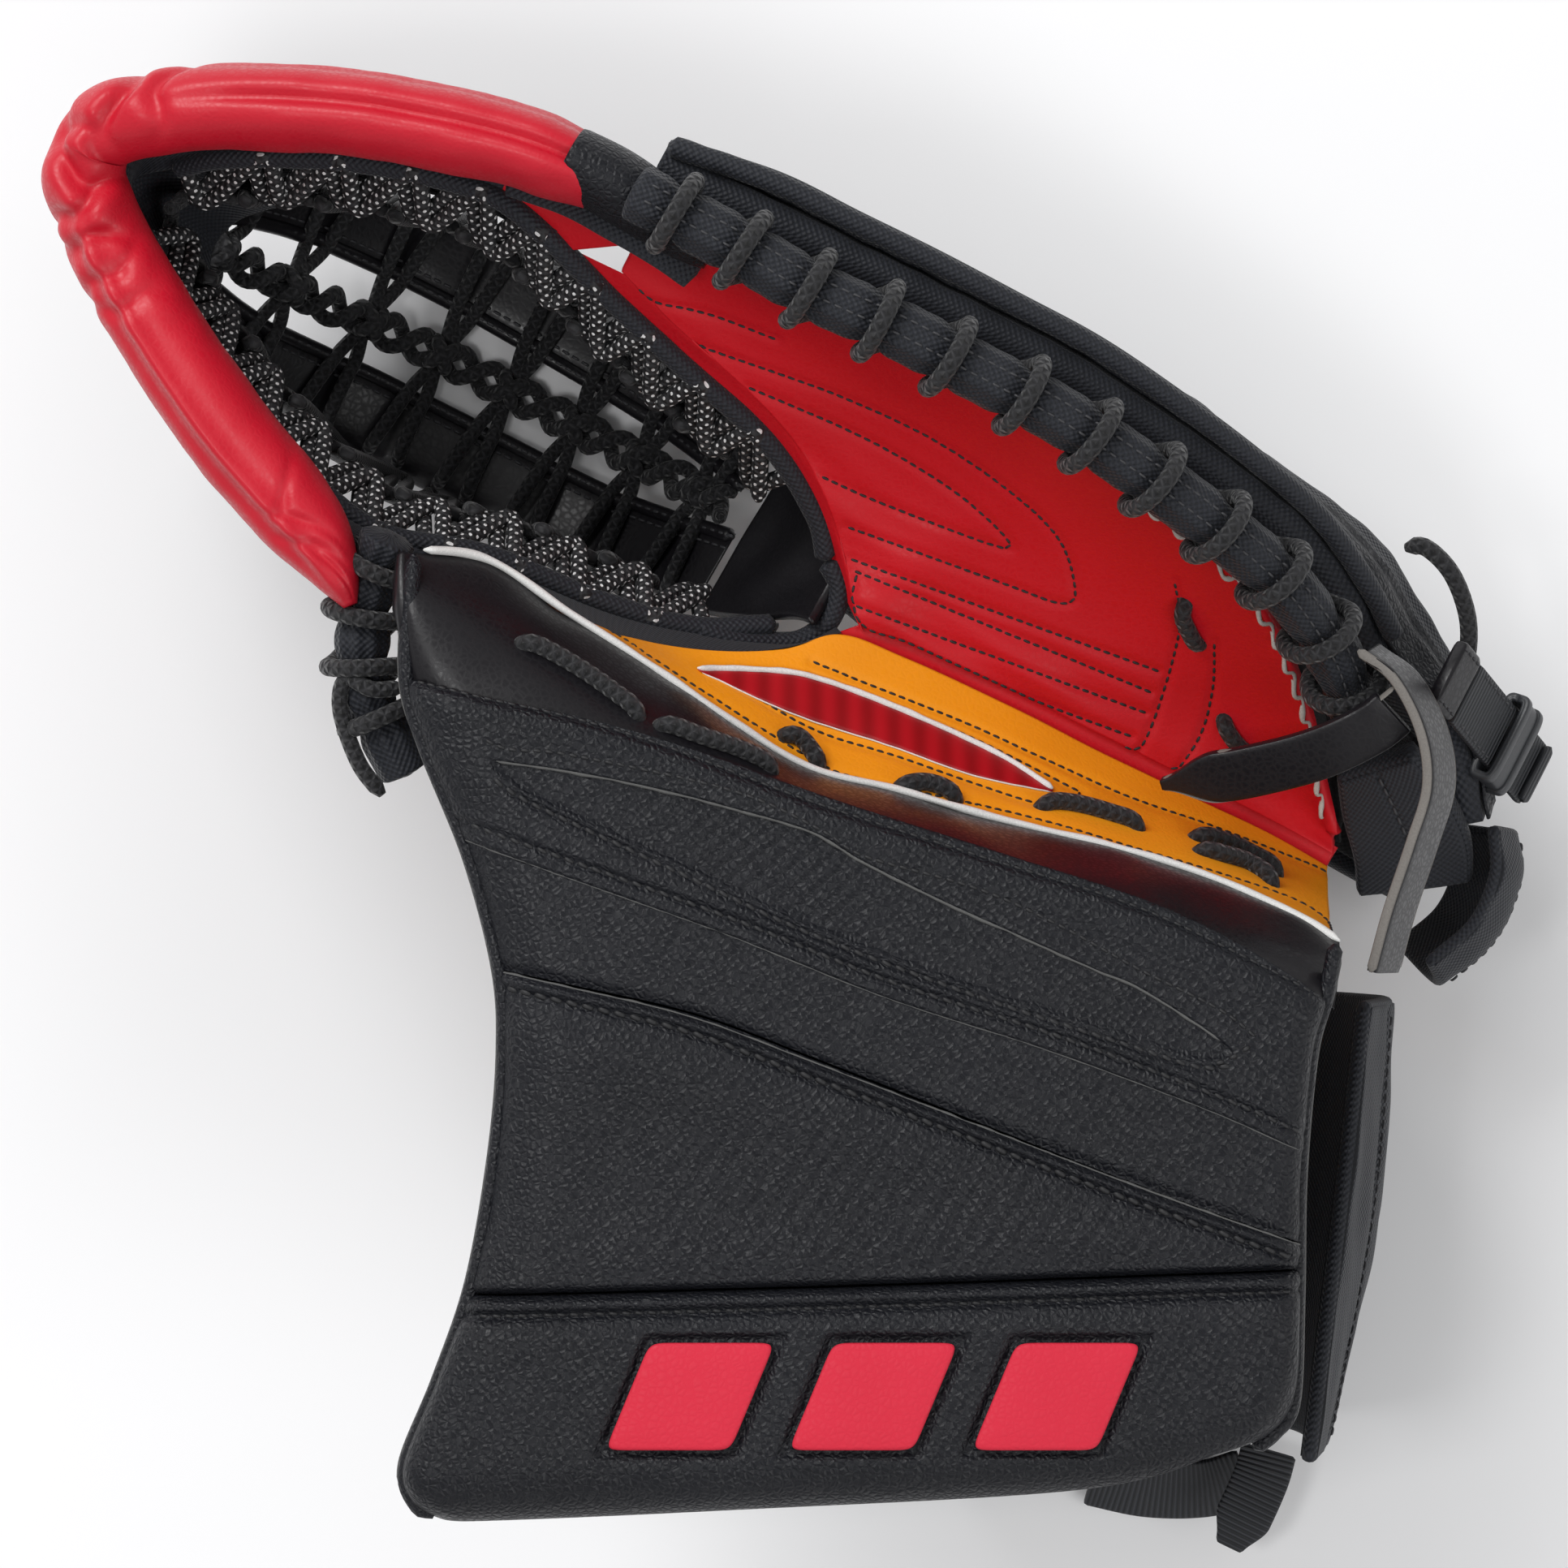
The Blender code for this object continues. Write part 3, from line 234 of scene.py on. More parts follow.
FOLD_SEAM = [(-87, 24.5), (-66.5, 19.5), (-48.4, 15.5), (-26.5, 8.9), (6.2, -3.5), (42.5, -15.3),
             (78.9, -27), (108, -40.7), (125, -50)]
WINDOW_TOP = [(-66, 5.5), (-61, 4.7), (-48.4, 2.9), (-30.2, -0.7), (-12, -5.3), (6.2, -10.7), (17, -17),
              (33.5, -25.3), (51.6, -33.5), (69.8, -41.6), (78.9, -45.3), (93.5, -54.4), (101, -60)]
WINDOW_FOOT = [(-66, 4.5), (-59.3, -0.7), (-48.4, -6.2), (-21.1, -18.9), (6.2, -31.6), (42.5, -45.3),
               (78.9, -57.1), (93.5, -61.6), (101, -60.8)]
WINDOW_HEM = [(-68.9, 9.6), (-62, 6.6), (-48.4, 5.4), (-12, -2.6), (8, -11.5), (17.1, -17.1), (42.5, -24.4),
              (60.7, -32.5), (78.9, -42.5), (97.1, -51.6), (105.3, -58)]
FACE = 150.0
FOAM_FACE = 26.0            # from the face down to the board
BARS = [-40.0 + 41.0 * k for k in range(3)]     # x of each emblem bar's lower left corner
BAR_WIDE, BAR_TALL, BAR_LEAN = 28, 24, 10
BAR_FOOT, BAR_MIDDLE, BAR_HEAD = -149, -137, -125


def seam_line(points):
    """The seam's y and its slope at any x, both read from its smooth curve."""
    curve = smooth([(x, y, 0) for x, y in points], 400)
    slope = np.gradient(curve[:, 1]) / np.gradient(curve[:, 0])
    return lambda x: (np.interp(x, curve[:, 0], curve[:, 1]), np.interp(x, curve[:, 0], slope))


seams = {name: seam_line(points) for name, points in (
    ("hem", HEM), ("lower", LOWER_SEAM), ("middle", MIDDLE_SEAM), ("double", DOUBLE_SEAM),
    ("fold", FOLD_SEAM), ("window_top", WINDOW_TOP), ("window_foot", WINDOW_FOOT))}
edge_curves = [smooth([(x, y, 0) for x, y in points], 300) for points in (LEFT_EDGE, RIGHT_EDGE)]


def edge_x(side, y):
    """x of the panel's left (0) or right (1) edge at y."""
    return np.interp(y, edge_curves[side][:, 1], edge_curves[side][:, 0])


def above(name, x, y):
    """Distance from a seam, square to it, positive up the cuff."""
    line, slope = seams[name](x)
    return (y - line) / np.sqrt(1 + slope**2)


def bell(distance, width):
    """e to the power of minus the square of distance / width."""
    return np.exp(-(distance / width) ** 2)


def step(value, width):
    """0 to 1 across width, centred on 0, with the curve 3t^2 - 2t^3."""
    t = np.clip(value / width + 0.5, 0, 1)
    return t * t * (3 - 2 * t)


def shoulder(distance, radius):
    """Drop of a rounded edge: radius - sqrt(radius^2 - (radius - d)^2), nothing past the radius."""
    left = np.clip(1 - distance / radius, 0, 1)
    return radius * (1 - np.sqrt(np.maximum(1 - left**2, 0)))


def face_height(x, y):
    """Height of the panel's leather face at (x, y)."""
    low, mid, pair, fold_at = (above(n, x, y) for n in ("lower", "middle", "double", "fold"))
    z = FACE + 0.35 * bumps(np.stack([x, y, 0 * x], -1), 46, 3) + 2.0 * step(-low - 6, 8)
    z += 0.9 * bell(low + 2.3, 1.7) - 2.6 * bell(low, 1.1) - 1.5 * bell(low + 4.6, 1.0)
    z += 0.7 * bell(low - 9, 6.0)
    z += 1.3 * bell(mid + 1.6, 1.5) * step(-mid, 0.6) - 0.9 * bell(mid + 3.6, 1.0) - 1.3 * bell(mid - 0.4,
                                                                                                1.6)
    z += 0.9 * bell(mid + 12, 8.0)
    z += 0.9 * step(pair + 3.6, 0.7) * step(28 - pair, 30) - 0.8 * bell(pair, 0.9) + 0.4 * bell(pair - 1.8,
                                                                                                1.0)
    inside = step(-above("window_top", x, y), 0.7) * step(above("window_foot", x, y), 1.6)
    inside = inside * step(x + 65, 2) * step(100 - x, 2)
    z -= 1.1 * inside
    z -= 0.9 * bell(above("window_foot", x, y) + 1.9, 0.8) * step(x + 62, 6) * step(99 - x, 6)
    z -= 1.1 * bell(fold_at + 0.4, 1.0) + 3.4 * step(fold_at - 1.5, 6)
    z += 0.6 * bell(fold_at + 5, 3.5)
    lean = x - 0.52 * y - 0.0035 * (y + 112) ** 2
    row = np.abs((lean / 5.4) % 1.0 - 0.5) * 5.4
    pressed = step(-112 + 34 - y - 8 * bumps(np.stack([x, y, 0 * x], -1), 60, 5), 22) * step(low - 6.5, 4)
    pressed = pressed * step(x + 22, 30) * step(96 - x, 34)
    in_window = inside * step(x + 24, 16) * step(18 - x, 16) * 1.2
    z -= 0.5 * bell(row, 0.62) * np.maximum(pressed, in_window)
    for left in BARS:
        across = x - left - BAR_LEAN * (y - BAR_FOOT) / BAR_TALL
        outside = np.maximum(-across, across - BAR_WIDE) * 0.92
        outside = np.maximum(outside, np.maximum(BAR_FOOT - y, y - BAR_HEAD))
        z -= 1.5 * bell(np.maximum(outside - 0.9, 0), 0.9) * step(outside + 0.4, 0.8)
    z -= 2.4 * bell(np.maximum(x - edge_x(0, y) - 3, 0), 7) * step(y + 120, 30)
    for side, sign in ((0, 1), (1, -1)):
        z -= shoulder(sign * (x - edge_x(side, y)) - 1.0, 7.0)
    z -= shoulder(above("hem", x, y), 13.0)
    return z


def ease(count, power):
    """count shares from 0 to 1 that crowd towards both ends."""
    t = 1 - 2 * np.linspace(0, 1, count)
    return 0.5 - 0.5 * np.sign(t) * np.abs(t) ** power


def group(name, inputs, outputs):
    """A node group with its sockets, given as (name, type, default), and its own input and output nodes."""
    made = bpy.data.node_groups.new(name, "ShaderNodeTree")
    for label, kind, default in inputs:
        socket = made.interface.new_socket(label, in_out="INPUT", socket_type=f"NodeSocket{kind}")
        if default is not None:
            socket.default_value = default
    for label, kind in outputs:
        made.interface.new_socket(label, in_out="OUTPUT", socket_type=f"NodeSocket{kind}")
    return made, made.nodes.new("NodeGroupInput"), made.nodes.new("NodeGroupOutput")


def math_node(tree, operation, first, second=None, third=None):
    """A Math node on sockets or numbers; its result."""
    made = tree.nodes.new("ShaderNodeMath")
    made.operation = operation
    for k, value in enumerate((first, second, third)):
        if value is None:
            continue
        if isinstance(value, (int, float)):
            made.inputs[k].default_value = value
        else:
            tree.links.new(value, made.inputs[k])
    return made.outputs[0]


def texture(tree, kind, vector, scale, output, **settings):
    """A texture node on a vector, at a scale; the output asked for."""
    made = tree.nodes.new(f"ShaderNodeTex{kind}")
    for key, value in settings.items():
        if key in made.inputs:
            made.inputs[key].default_value = value
        else:
            setattr(made, key, value)
    made.inputs["Scale"].default_value = scale
    tree.links.new(vector, made.inputs["Vector"])
    return made.outputs[output]


def make_grain(pebbles=620, pores=1500, creases=240, patches=26):
    """Leather's surface, each scale in cells per metre: its height, wear and soft patches of colour."""
    made, given, out = group("leather_grain", [("Vector", "Vector", None)],
                             [("Height", "Float"), ("Wear", "Float"), ("Patch", "Float")])
    place_in = given.outputs["Vector"]
    cells = texture(made, "Voronoi", place_in, pebbles, "Distance", feature="DISTANCE_TO_EDGE")
    ridge = math_node(made, "MINIMUM", math_node(made, "MULTIPLY", cells, 3.4), 1.0)
    fine = texture(made, "Noise", place_in, pores, "Fac", Detail=2.0)
    broad = texture(made, "Noise", place_in, creases, "Fac", Detail=3.0, Distortion=0.6)
    height = math_node(made, "MULTIPLY_ADD", ridge, 0.55, math_node(made, "MULTIPLY", fine, 0.35))
    made.links.new(math_node(made, "MULTIPLY_ADD", broad, 0.5, height), out.inputs["Height"])
    made.links.new(ridge, out.inputs["Wear"])
    patch = texture(made, "Noise", place_in, patches, "Fac", Detail=4.0)
    made.links.new(patch, out.inputs["Patch"])
    return made


grain = make_grain()


def surface_node(tree, made_group, vector="Object"):
    """The group in a material, fed with object coordinates or with the piece's own layout."""
    node = tree.nodes.new("ShaderNodeGroup")
    node.node_tree = made_group
    where = tree.nodes.new("ShaderNodeTexCoord")
    tree.links.new(where.outputs[vector], node.inputs["Vector"])
    return node


def ramp(tree, value, low, high):
    """A value from 0 to 1 turned to a range."""
    made = tree.nodes.new("ShaderNodeMapRange")
    made.inputs["To Min"].default_value = low
    made.inputs["To Max"].default_value = high
    tree.links.new(value, made.inputs["Value"])
    return made.outputs["Result"]


def mix_colour(tree, factor, first, second):
    """A colour that goes from the first to the second as factor goes from 0 to 1."""
    made = tree.nodes.new("ShaderNodeMix")
    made.data_type = "RGBA"
    for socket, value in ((made.inputs[0], factor), (made.inputs[6], first), (made.inputs[7], second)):
        if isinstance(value, tuple):
            socket.default_value = (*value, 1)
        elif isinstance(value, (int, float)):
            socket.default_value = value
        else:
            tree.links.new(value, socket)
    return made.outputs[2]


def bump(tree, shader, height, strength, distance):
    """A bump of that height in metres on the shader's normal."""
    made = tree.nodes.new("ShaderNodeBump")
    made.inputs["Strength"].default_value = strength
    made.inputs["Distance"].default_value = distance
    tree.links.new(height, made.inputs["Height"])
    tree.links.new(made.outputs["Normal"], shader.inputs["Normal"])


def leather(name, colour, worn, roughness=0.45, strength=0.55, coat=0.0, depth=0.00022):
    """A dyed leather: colour varies in soft patches, and the pebbles shine more."""
    made, tree, shader = finish_material(name, colour, roughness)
    node = surface_node(tree, grain)
    patches = mix_colour(tree, ramp(tree, node.outputs["Patch"], 0.0, 1.0), colour, worn)
    tree.links.new(patches, shader.inputs["Base Color"])
    tree.links.new(ramp(tree, node.outputs["Wear"], roughness + 0.16, roughness - 0.05),
                   shader.inputs["Roughness"])
    bump(tree, shader, node.outputs["Height"], strength, depth)
    shader.inputs["Coat Weight"].default_value = coat
    shader.inputs["Coat Roughness"].default_value = 0.35
    shader.inputs["Specular IOR Level"].default_value = 0.26
    return made


black_leather = leather("black_leather", (0.0045, 0.005, 0.007), (0.009, 0.0095, 0.013), 0.40, 1.0, 0.03,
                        0.00042)


def panel_pad(name, lower, upper, rows, columns, hide):
    """A pad between two seams: rows across it, columns down it, rounded at its sides."""
    v, t = ease(rows, 0.8)[:, None], ease(columns, 0.85)[None, :]
    ends = []
    for line in (lower, upper):
        left_y, right_y = seams[line](-75.0)[0], seams[line](119.0)[0]
        ends.append((edge_x(0, left_y) + 1, edge_x(1, right_y) - 1))
    low_x, up_x = (first + (last - first) * t for first, last in ends)
    gap = 0.25
    y = (seams[lower](low_x)[0] + gap) * (1 - v) + (seams[upper](up_x)[0] - gap) * v
    left, right = edge_x(0, y) + 1.0, edge_x(1, y) - 1.0
    x = left + (right - left) * t
    top = np.stack([x, y, face_height(x, y)], -1)
    bottom = np.stack([x, y, np.minimum(top[..., 2] - 4, FACE - FOAM_FACE)], -1)
    made = piece(name, [tube(shell(top, bottom, 0.3))], black_leather)
    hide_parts(hide)
    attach(made, "thumb_side")


panel_pad("cuff_pad_lower", "hem", "lower", 90, 240, "cuff_lower_pad")
panel_pad("cuff_pad_middle", "lower", "middle", 130, 240, "cuff_middle_pad")
panel_pad("thumb_pad_face", "middle", "fold", 170, 260, "thumb_face_pad")

# ---------------------------------------------------------------- cuff panel: stitches and raw edges
# Twisted black thread along each seam of the panel, and the pale cut edge of the leather where one layer
# laps over the next.


def thread_material(name, colour, roughness=0.6):
    """Waxed twisted thread: fine diagonal strands along it."""
    made, tree, shader = finish_material(name, colour, roughness)
    where = tree.nodes.new("ShaderNodeTexCoord")
    strands = texture(tree, "Noise", where.outputs["Object"], 2600, "Fac", Detail=1.0)
    tree.links.new(mix_colour(tree, strands, tuple(0.6 * c for c in colour), colour),
                   shader.inputs["Base Color"])
    bump(tree, shader, strands, 0.4, 0.0001)
    return made


black_thread = thread_material("black_thread", (0.012, 0.012, 0.014))
raw_edge = thread_material("raw_leather_edge", (0.11, 0.11, 0.108), 0.85)


def frames(path, up):
    """Direction of travel, side and rise at each point of a path, with rise near up."""
    way = unit(np.gradient(path, axis=0))
    side = unit(np.cross(way, np.broadcast_to(up, way.shape)))
    return way, side, np.cross(side, way)


def sweep(path, half_width, half_height, sides=12, up=(0, 0, 1), power=1.0, ends=0.3):
    """A tube along a path, closed towards its ends: |x/w|^(2/power) + |y/h|^(2/power) = 1 is its section.

    half_width and half_height are numbers or one value for each point.
    """
    _, side, rise = frames(path, up)
    angle = 2 * np.pi * np.arange(sides) / sides
    c, s = (np.sign(f(angle)) * np.abs(f(angle)) ** power for f in (np.cos, np.sin))
    size = np.ones(len(path))
    size[[0, -1]] = ends
    size[[1, -2]] = 0.5 + ends / 2
    w, h = (np.broadcast_to(np.asarray(v, float), size.shape) * size for v in (half_width, half_height))
    rings = path[:, None] + side[:, None] * (w[:, None] * c)[..., None] + rise[:, None] * (h[:, None]
                                                                                           * s)[..., None]
    return tube(rings, along=np.concatenate([[0.0],
                                             np.cumsum(np.linalg.norm(np.diff(path, axis=0), axis=1))]))


def stitches(path, pitch=2.7, length=2.1, gauge=0.42, up=(0, 0, 1), skew=0.0):
    """Stitches along a path: short capsules pitch apart, each turned by skew, in one body."""
    total = np.linalg.norm(np.diff(path, axis=0), axis=1).sum()
    spots = smooth(path, max(int(total / pitch), 2) + 1)
    middles = (spots[1:] + spots[:-1]) / 2
    ups = np.broadcast_to(np.asarray(up, float), path.shape)
    if ups.shape[0] == path.shape[0] and np.ndim(up) == 2:
        ups = smooth(np.hstack([path, ups]), len(spots))[:, 3:]
        ups = unit((ups[1:] + ups[:-1]) / 2)
    else:
        ups = np.broadcast_to(np.asarray(up, float), middles.shape)
    way = unit(spots[1:] - spots[:-1])
    side = unit(np.cross(way, ups))
    rise = np.cross(side, way)
    way = way * np.cos(skew) + side * np.sin(skew)
    side = np.cross(way, rise)
    bend = np.array([-0.5, -0.42, -0.2, 0.2, 0.42, 0.5])
    round_off = np.array([0.35, 0.85, 1.0, 1.0, 0.85, 0.35])
    sink = np.array([-1.1, -0.35, 0.0, 0.0, -0.35, -1.1])
    angle = 2 * np.pi * np.arange(6) / 6
    local_way = np.repeat(bend * length, 6)
    local_side = np.outer(round_off, np.cos(angle)).ravel() * gauge
    local_rise = np.outer(round_off, np.sin(angle)).ravel() * gauge + np.repeat(sink * gauge, 6)
    points = (middles[:, None] + way[:, None] * local_way[:, None] + side[:, None] * local_side[:, None]
              + rise[:, None] * local_rise[:, None])
    quads, _ = lattice(6, 6)
    caps = np.array([[0, 5, 4, 1], [1, 4, 3, 2]])
    one = np.vstack([quads, caps, caps[:, ::-1] + 30])
    shifts = (np.arange(len(middles)) * 36)[:, None, None]
    uv = np.zeros((len(one) * len(middles), 4, 2))
    return points.reshape(-1, 3), (one[None] + shifts).reshape(-1, 4), uv


def on_face(points, count=None, lift=0.0, offset=0.0):
    """A path on the panel's face through (x, y) points, moved up the cuff by offset."""
    curve = smooth([(x, y, 0) for x, y in points], count or 220)
    _, side, _ = frames(curve, (0, 0, 1))
    curve = curve - side * offset
    curve[:, 2] = face_height(curve[:, 0], curve[:, 1]) + lift
    return curve


def trimmed(points, left, right):
    """The part of a line of (x, y) points between two values of x."""
    curve = smooth([(x, y, 0) for x, y in points], 400)[:, :2]
    return curve[(curve[:, 0] > left) & (curve[:, 0] < right)]


panel_rows = [
    stitches(on_face(trimmed(LOWER_SEAM, -69, 114), offset=-4.6), 2.9, 2.3, 0.55, skew=0.12),
    stitches(on_face(trimmed(MIDDLE_SEAM, -62, 115), offset=-3.4), 3.6, 3.0, 0.75, skew=0.16),
    stitches(on_face(trimmed(DOUBLE_SEAM, -71, 116)), 3.2, 2.6, 0.6, skew=0.14),
    stitches(on_face(trimmed(FOLD_SEAM, -83, 121), offset=-0.4), 2.7, 2.0, 0.4),
    stitches(on_face(trimmed(WINDOW_FOOT, -64, 100), offset=-1.9), 3.3, 2.7, 0.65, skew=0.14),
    stitches(on_face(trimmed(WINDOW_HEM, -68, 105), offset=1.2), 2.7, 2.0, 0.42),
    stitches(on_face([(104.8, -58.3), (100, -61.5), (96, -62.8)]), 2.7, 2.0, 0.5),
]
panel_stitching = piece("panel_stitching", panel_rows, black_thread)
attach(panel_stitching, "thumb_side")


def ragged_edge(path, half, seed):
    """A cut edge of leather: a thin strip along a path whose width wavers."""
    wobble = 1 + 0.4 * bumps(path, 5, seed)
    return sweep(path, half * wobble, 0.42, 6, ends=0.2)


edges = [
    ragged_edge(on_face(trimmed(WINDOW_TOP, -65, 98), lift=-0.2), 0.5, 11),
    ragged_edge(on_face(trimmed(MIDDLE_SEAM, -66, 117), lift=-0.5, offset=-0.3), 0.4, 12),
    ragged_edge(on_face(trimmed(DOUBLE_SEAM, -72, 118), lift=-0.35, offset=-3.7), 0.3, 13),
]
cut_edges = piece("panel_cut_edges", edges, raw_edge)
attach(cut_edges, "thumb_side")

# ---------------------------------------------------------------- cuff panel: emblem and bindings
# Three slanted bars of coral-red leather let into the panel, and the leather-covered cord that binds the
# panel's two long edges.

emblem_leather = leather("red_emblem_leather", (0.55, 0.016, 0.038), (0.61, 0.022, 0.05), 0.55, 0.5)


def emblem_bar(left, name):
    """A slanted bar, 28 by 24 mm, with its corners and its upper edge rounded."""
    t = np.linspace(0, 2 * np.pi, 96, endpoint=False) + np.pi / 96
    square = [np.sign(f(t)) * np.abs(f(t)) ** 0.16 for f in (np.cos, np.sin)]
    rings = []
    for inset, height in ((0.6, -0.8), (0.0, -0.5), (0.0, 0.25), (0.35, 0.65), (1.0, 0.8), (6, 0.85),
                          (11.5, 0.85)):
        y = BAR_MIDDLE + square[1] * (BAR_TALL / 2 - inset)
        x = left + (BAR_WIDE + BAR_LEAN) / 2 + square[0] * max(BAR_WIDE / 2 - inset, 0.4)
        x = x + BAR_LEAN * (y - BAR_MIDDLE) / BAR_TALL
        rings.append(np.stack([x, y, 0 * x + FACE + 2.2 + height], -1))
    made = piece(name, [tube(np.array(rings))], emblem_leather)
    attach(made, "thumb_side")
    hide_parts(name.replace("inlay", "bar"))


for left, side in zip(BARS, ("left", "centre", "right")):
    emblem_bar(left, f"emblem_inlay_{side}")

for side, (name, edge, sign) in enumerate((("left", LEFT_EDGE, 1), ("right", RIGHT_EDGE, -1))):
    line = smooth([(x + sign * 1.6, y, FACE - 8.0) for x, y in edge], 160)[2:]
    cord = sweep(line, 1.9 + 0.12 * bumps(line, 9, 20 + side), 2.3, 14)
    thin = line[6:-4] - np.array([sign * 1.7, 0, 0.6])
    trim = sweep(thin, 0.45, 0.7, 6)
    made = piece(f"panel_binding_{name}", [cord, (trim, 1)], [black_leather, raw_edge])
    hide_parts(f"cuff_binding_{name}")
    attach(made, "thumb_side")

# ---------------------------------------------------------------- rim: the crimson roll round the pocket
# A foam-cored roll of smooth crimson leather that bends round the pocket's corner in deep folds. A tucked
# groove runs along its finger side and a beaded ridge along its thumb side.

rim_leather = leather("red_rim_leather", (0.44, 0.005, 0.017), (0.52, 0.008, 0.024), 0.42, 0.4, 0.25, 0.00015)

ALONG = np.array([-np.sqrt(3) / 2, 0.5, 0.0])
ACROSS = np.array([0.5, np.sqrt(3) / 2, 0.0])
HEEL = np.array([130.0, -18.0, 0.0])


def fold(points):
    """Points given along the palm's break, across it and up, as pattern points; other columns are kept."""
    given = np.asarray(points, float)
    spot = HEEL + given[:, :1] * ALONG + given[:, 1:2] * ACROSS + given[:, 2:3] * np.array([0, 0, 1.0])
    return np.hstack([spot, given[:, 3:]])


# s along the break, u across it, height, half the width and half the height, from the finger side round
RIM = [(205, 46.5, 148, 1.2, 2), (215, 46.6, 149, 3.8, 5), (226, 46.8, 150.5, 7.4, 11),
       (236, 46, 151, 9.2, 13.5), (252, 42.5, 150, 9.6, 13.5), (279, 33.5, 147, 9.8, 13.5),
       (304, 21.5, 142, 9.8, 13.5), (318, 12.5, 138, 9.6, 13), (327, 5, 134, 9.2, 12.5),
       (330.5, -1.5, 131, 9.2, 12), (328.5, -9, 129.5, 9.4, 12), (322.5, -14.8, 128, 9.6, 12.5),
       (314.5, -20.6, 127, 9.8, 13), (293.5, -32.6, 127, 10.2, 13.5), (271, -43.2, 128, 10.4, 13.5),
       (252, -50, 129, 10.2, 13), (241, -54.5, 130, 8.4, 11), (232, -60, 131, 4.6, 7),
       (227, -63.5, 131.5, 1.4, 2)]


def rim_rings(rows=520, sides=72):
    """The rim's rings, row by row along it.

    Each ring is an ellipse; its ray at angle a from the pocket's side is drawn in by the groove and the
    folds and pushed out by the bead.
    """
    path = smooth(fold(RIM), rows)
    spine, w, h = path[:, :3], path[:, 3:4], path[:, 4:5]
    _, side, rise = frames(spine, (0, 0, 1))
    at = np.concatenate([[0.0], np.cumsum(np.linalg.norm(np.diff(spine, axis=0), axis=1))])[:, None]
    corner = at[np.argmin(np.abs(spine @ ALONG - (spine @ ALONG).max()))][0]
    a = (2 * np.pi * np.arange(sides) / sides)[None, :]
    finger = step(corner - 34 - at, 40) * step(at - 6, 20)
    thumb = step(at - corner - 16, 26) * step(at[-1] - 8 - at, 20)
    top = np.degrees(a)
    top = np.where(top > 270, top - 360, top)
    ray = 1 - 0.17 * finger * bell(top - 84, 9) + 0.05 * finger * (bell(top - 60, 20) + bell(top - 112, 26))
    ray = ray - 0.07 * finger * bell(top - 24, 12)
    ray = ray + thumb * (0.12 * bell(top - 66, 9) - 0.09 * bell(top - 44, 11) - 0.04 * bell(top - 88, 12))
    folds = ((-24, 0.35, 0.15, 2.2), (-14, 0.5, 0.24, 2.6), (-4, -0.3, 0.22, 2.4), (5, 0.55, 0.26, 3.0),
             (13, -0.4, 0.20, 2.2), (22, 0.3, 0.17, 2.4), (31, -0.25, 0.10, 2.0), (39, 0.4, 0.07, 2.0))
    for place_at, slant, depth, width in folds:
        bend = (at - corner - place_at) - slant * (top - 70) / 8 + 1.6 * np.sin(top / 17 + place_at)
        ray = ray - depth * bell(bend, width) * bell(top - 58, 62)
        ray = ray + 0.4 * depth * bell(bend - 2.4 * width, 1.6 * width) * bell(top - 70, 60)
    for place_at, slant, depth in ((-13, 0.9, 0.10), (-20, 1.2, 0.08), (-28, -0.8, 0.07), (-9, 1.4, 0.12)):
        bend = (at - at[-1] - place_at) - slant * (top - 95) / 6
        ray = ray - depth * bell(bend, 1.8) * bell(top - 95, 38)
    c, r = np.cos(a) * -w, np.sin(a) * h
    rings = spine[:, None] + side[:, None] * (c * -ray)[..., None] + rise[:, None] * (r * ray)[..., None]
    uneven = bumps(rings, 30, 31) * 0.35 + bumps(rings, 9, 32) * 0.10
    rings += unit(rings - spine[:, None]) * uneven[..., None]
    return rings


rim = piece("rim_roll", [tube(rim_rings())], rim_leather)
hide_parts("rim_finger_side", "rim_corner", "rim_thumb_side")
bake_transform(rim)

# ---------------------------------------------------------------- thumb wall, piping and its laces
# Smooth black leather that rolls from the thumb's face down to the white piping, and the round lace that
# dives in and out of it and of the gold band.

smooth_leather = leather("smooth_black_leather", (0.005, 0.0045, 0.006), (0.010, 0.009, 0.011), 0.33, 0.3,
                         0.2, 0.00012)

PIPING_LINE = [(-86, 53, 139), (-68, 51.2, 124), (-49.5, 39.2, 118), (-31, 27.2, 116), (-12.3, 14.5, 115),
               (6.3, 3.4, 114), (26, -1.5, 113), (49.3, -8.2, 112), (81, -16, 111), (99.7, -22.2, 112),
               (118, -30.5, 116), (126.9, -36, 122)]
piping_path = smooth(PIPING_LINE, 240)


def between(first, second, across, bulge=0.0):
    """A grid between two lines of points, raised by bulge(share, gap) between them."""
    v = across[:, None, None]
    gap = np.linalg.norm(second - first, axis=1)[None, :]
    rise = bulge(across[:, None], gap) if callable(bulge) else bulge + 0 * gap
    return first[None] * (1 - v) + second[None] * v + np.stack([0 * rise, 0 * rise, rise], -1)


def normals_of(grid, up=(0, 0, 1)):
    """Unit normals of a grid on the side that up is on."""
    made = unit(np.cross(np.gradient(grid, axis=1), np.gradient(grid, axis=0)))
    return made * np.sign((made @ np.asarray(up, float)).sum() or 1)


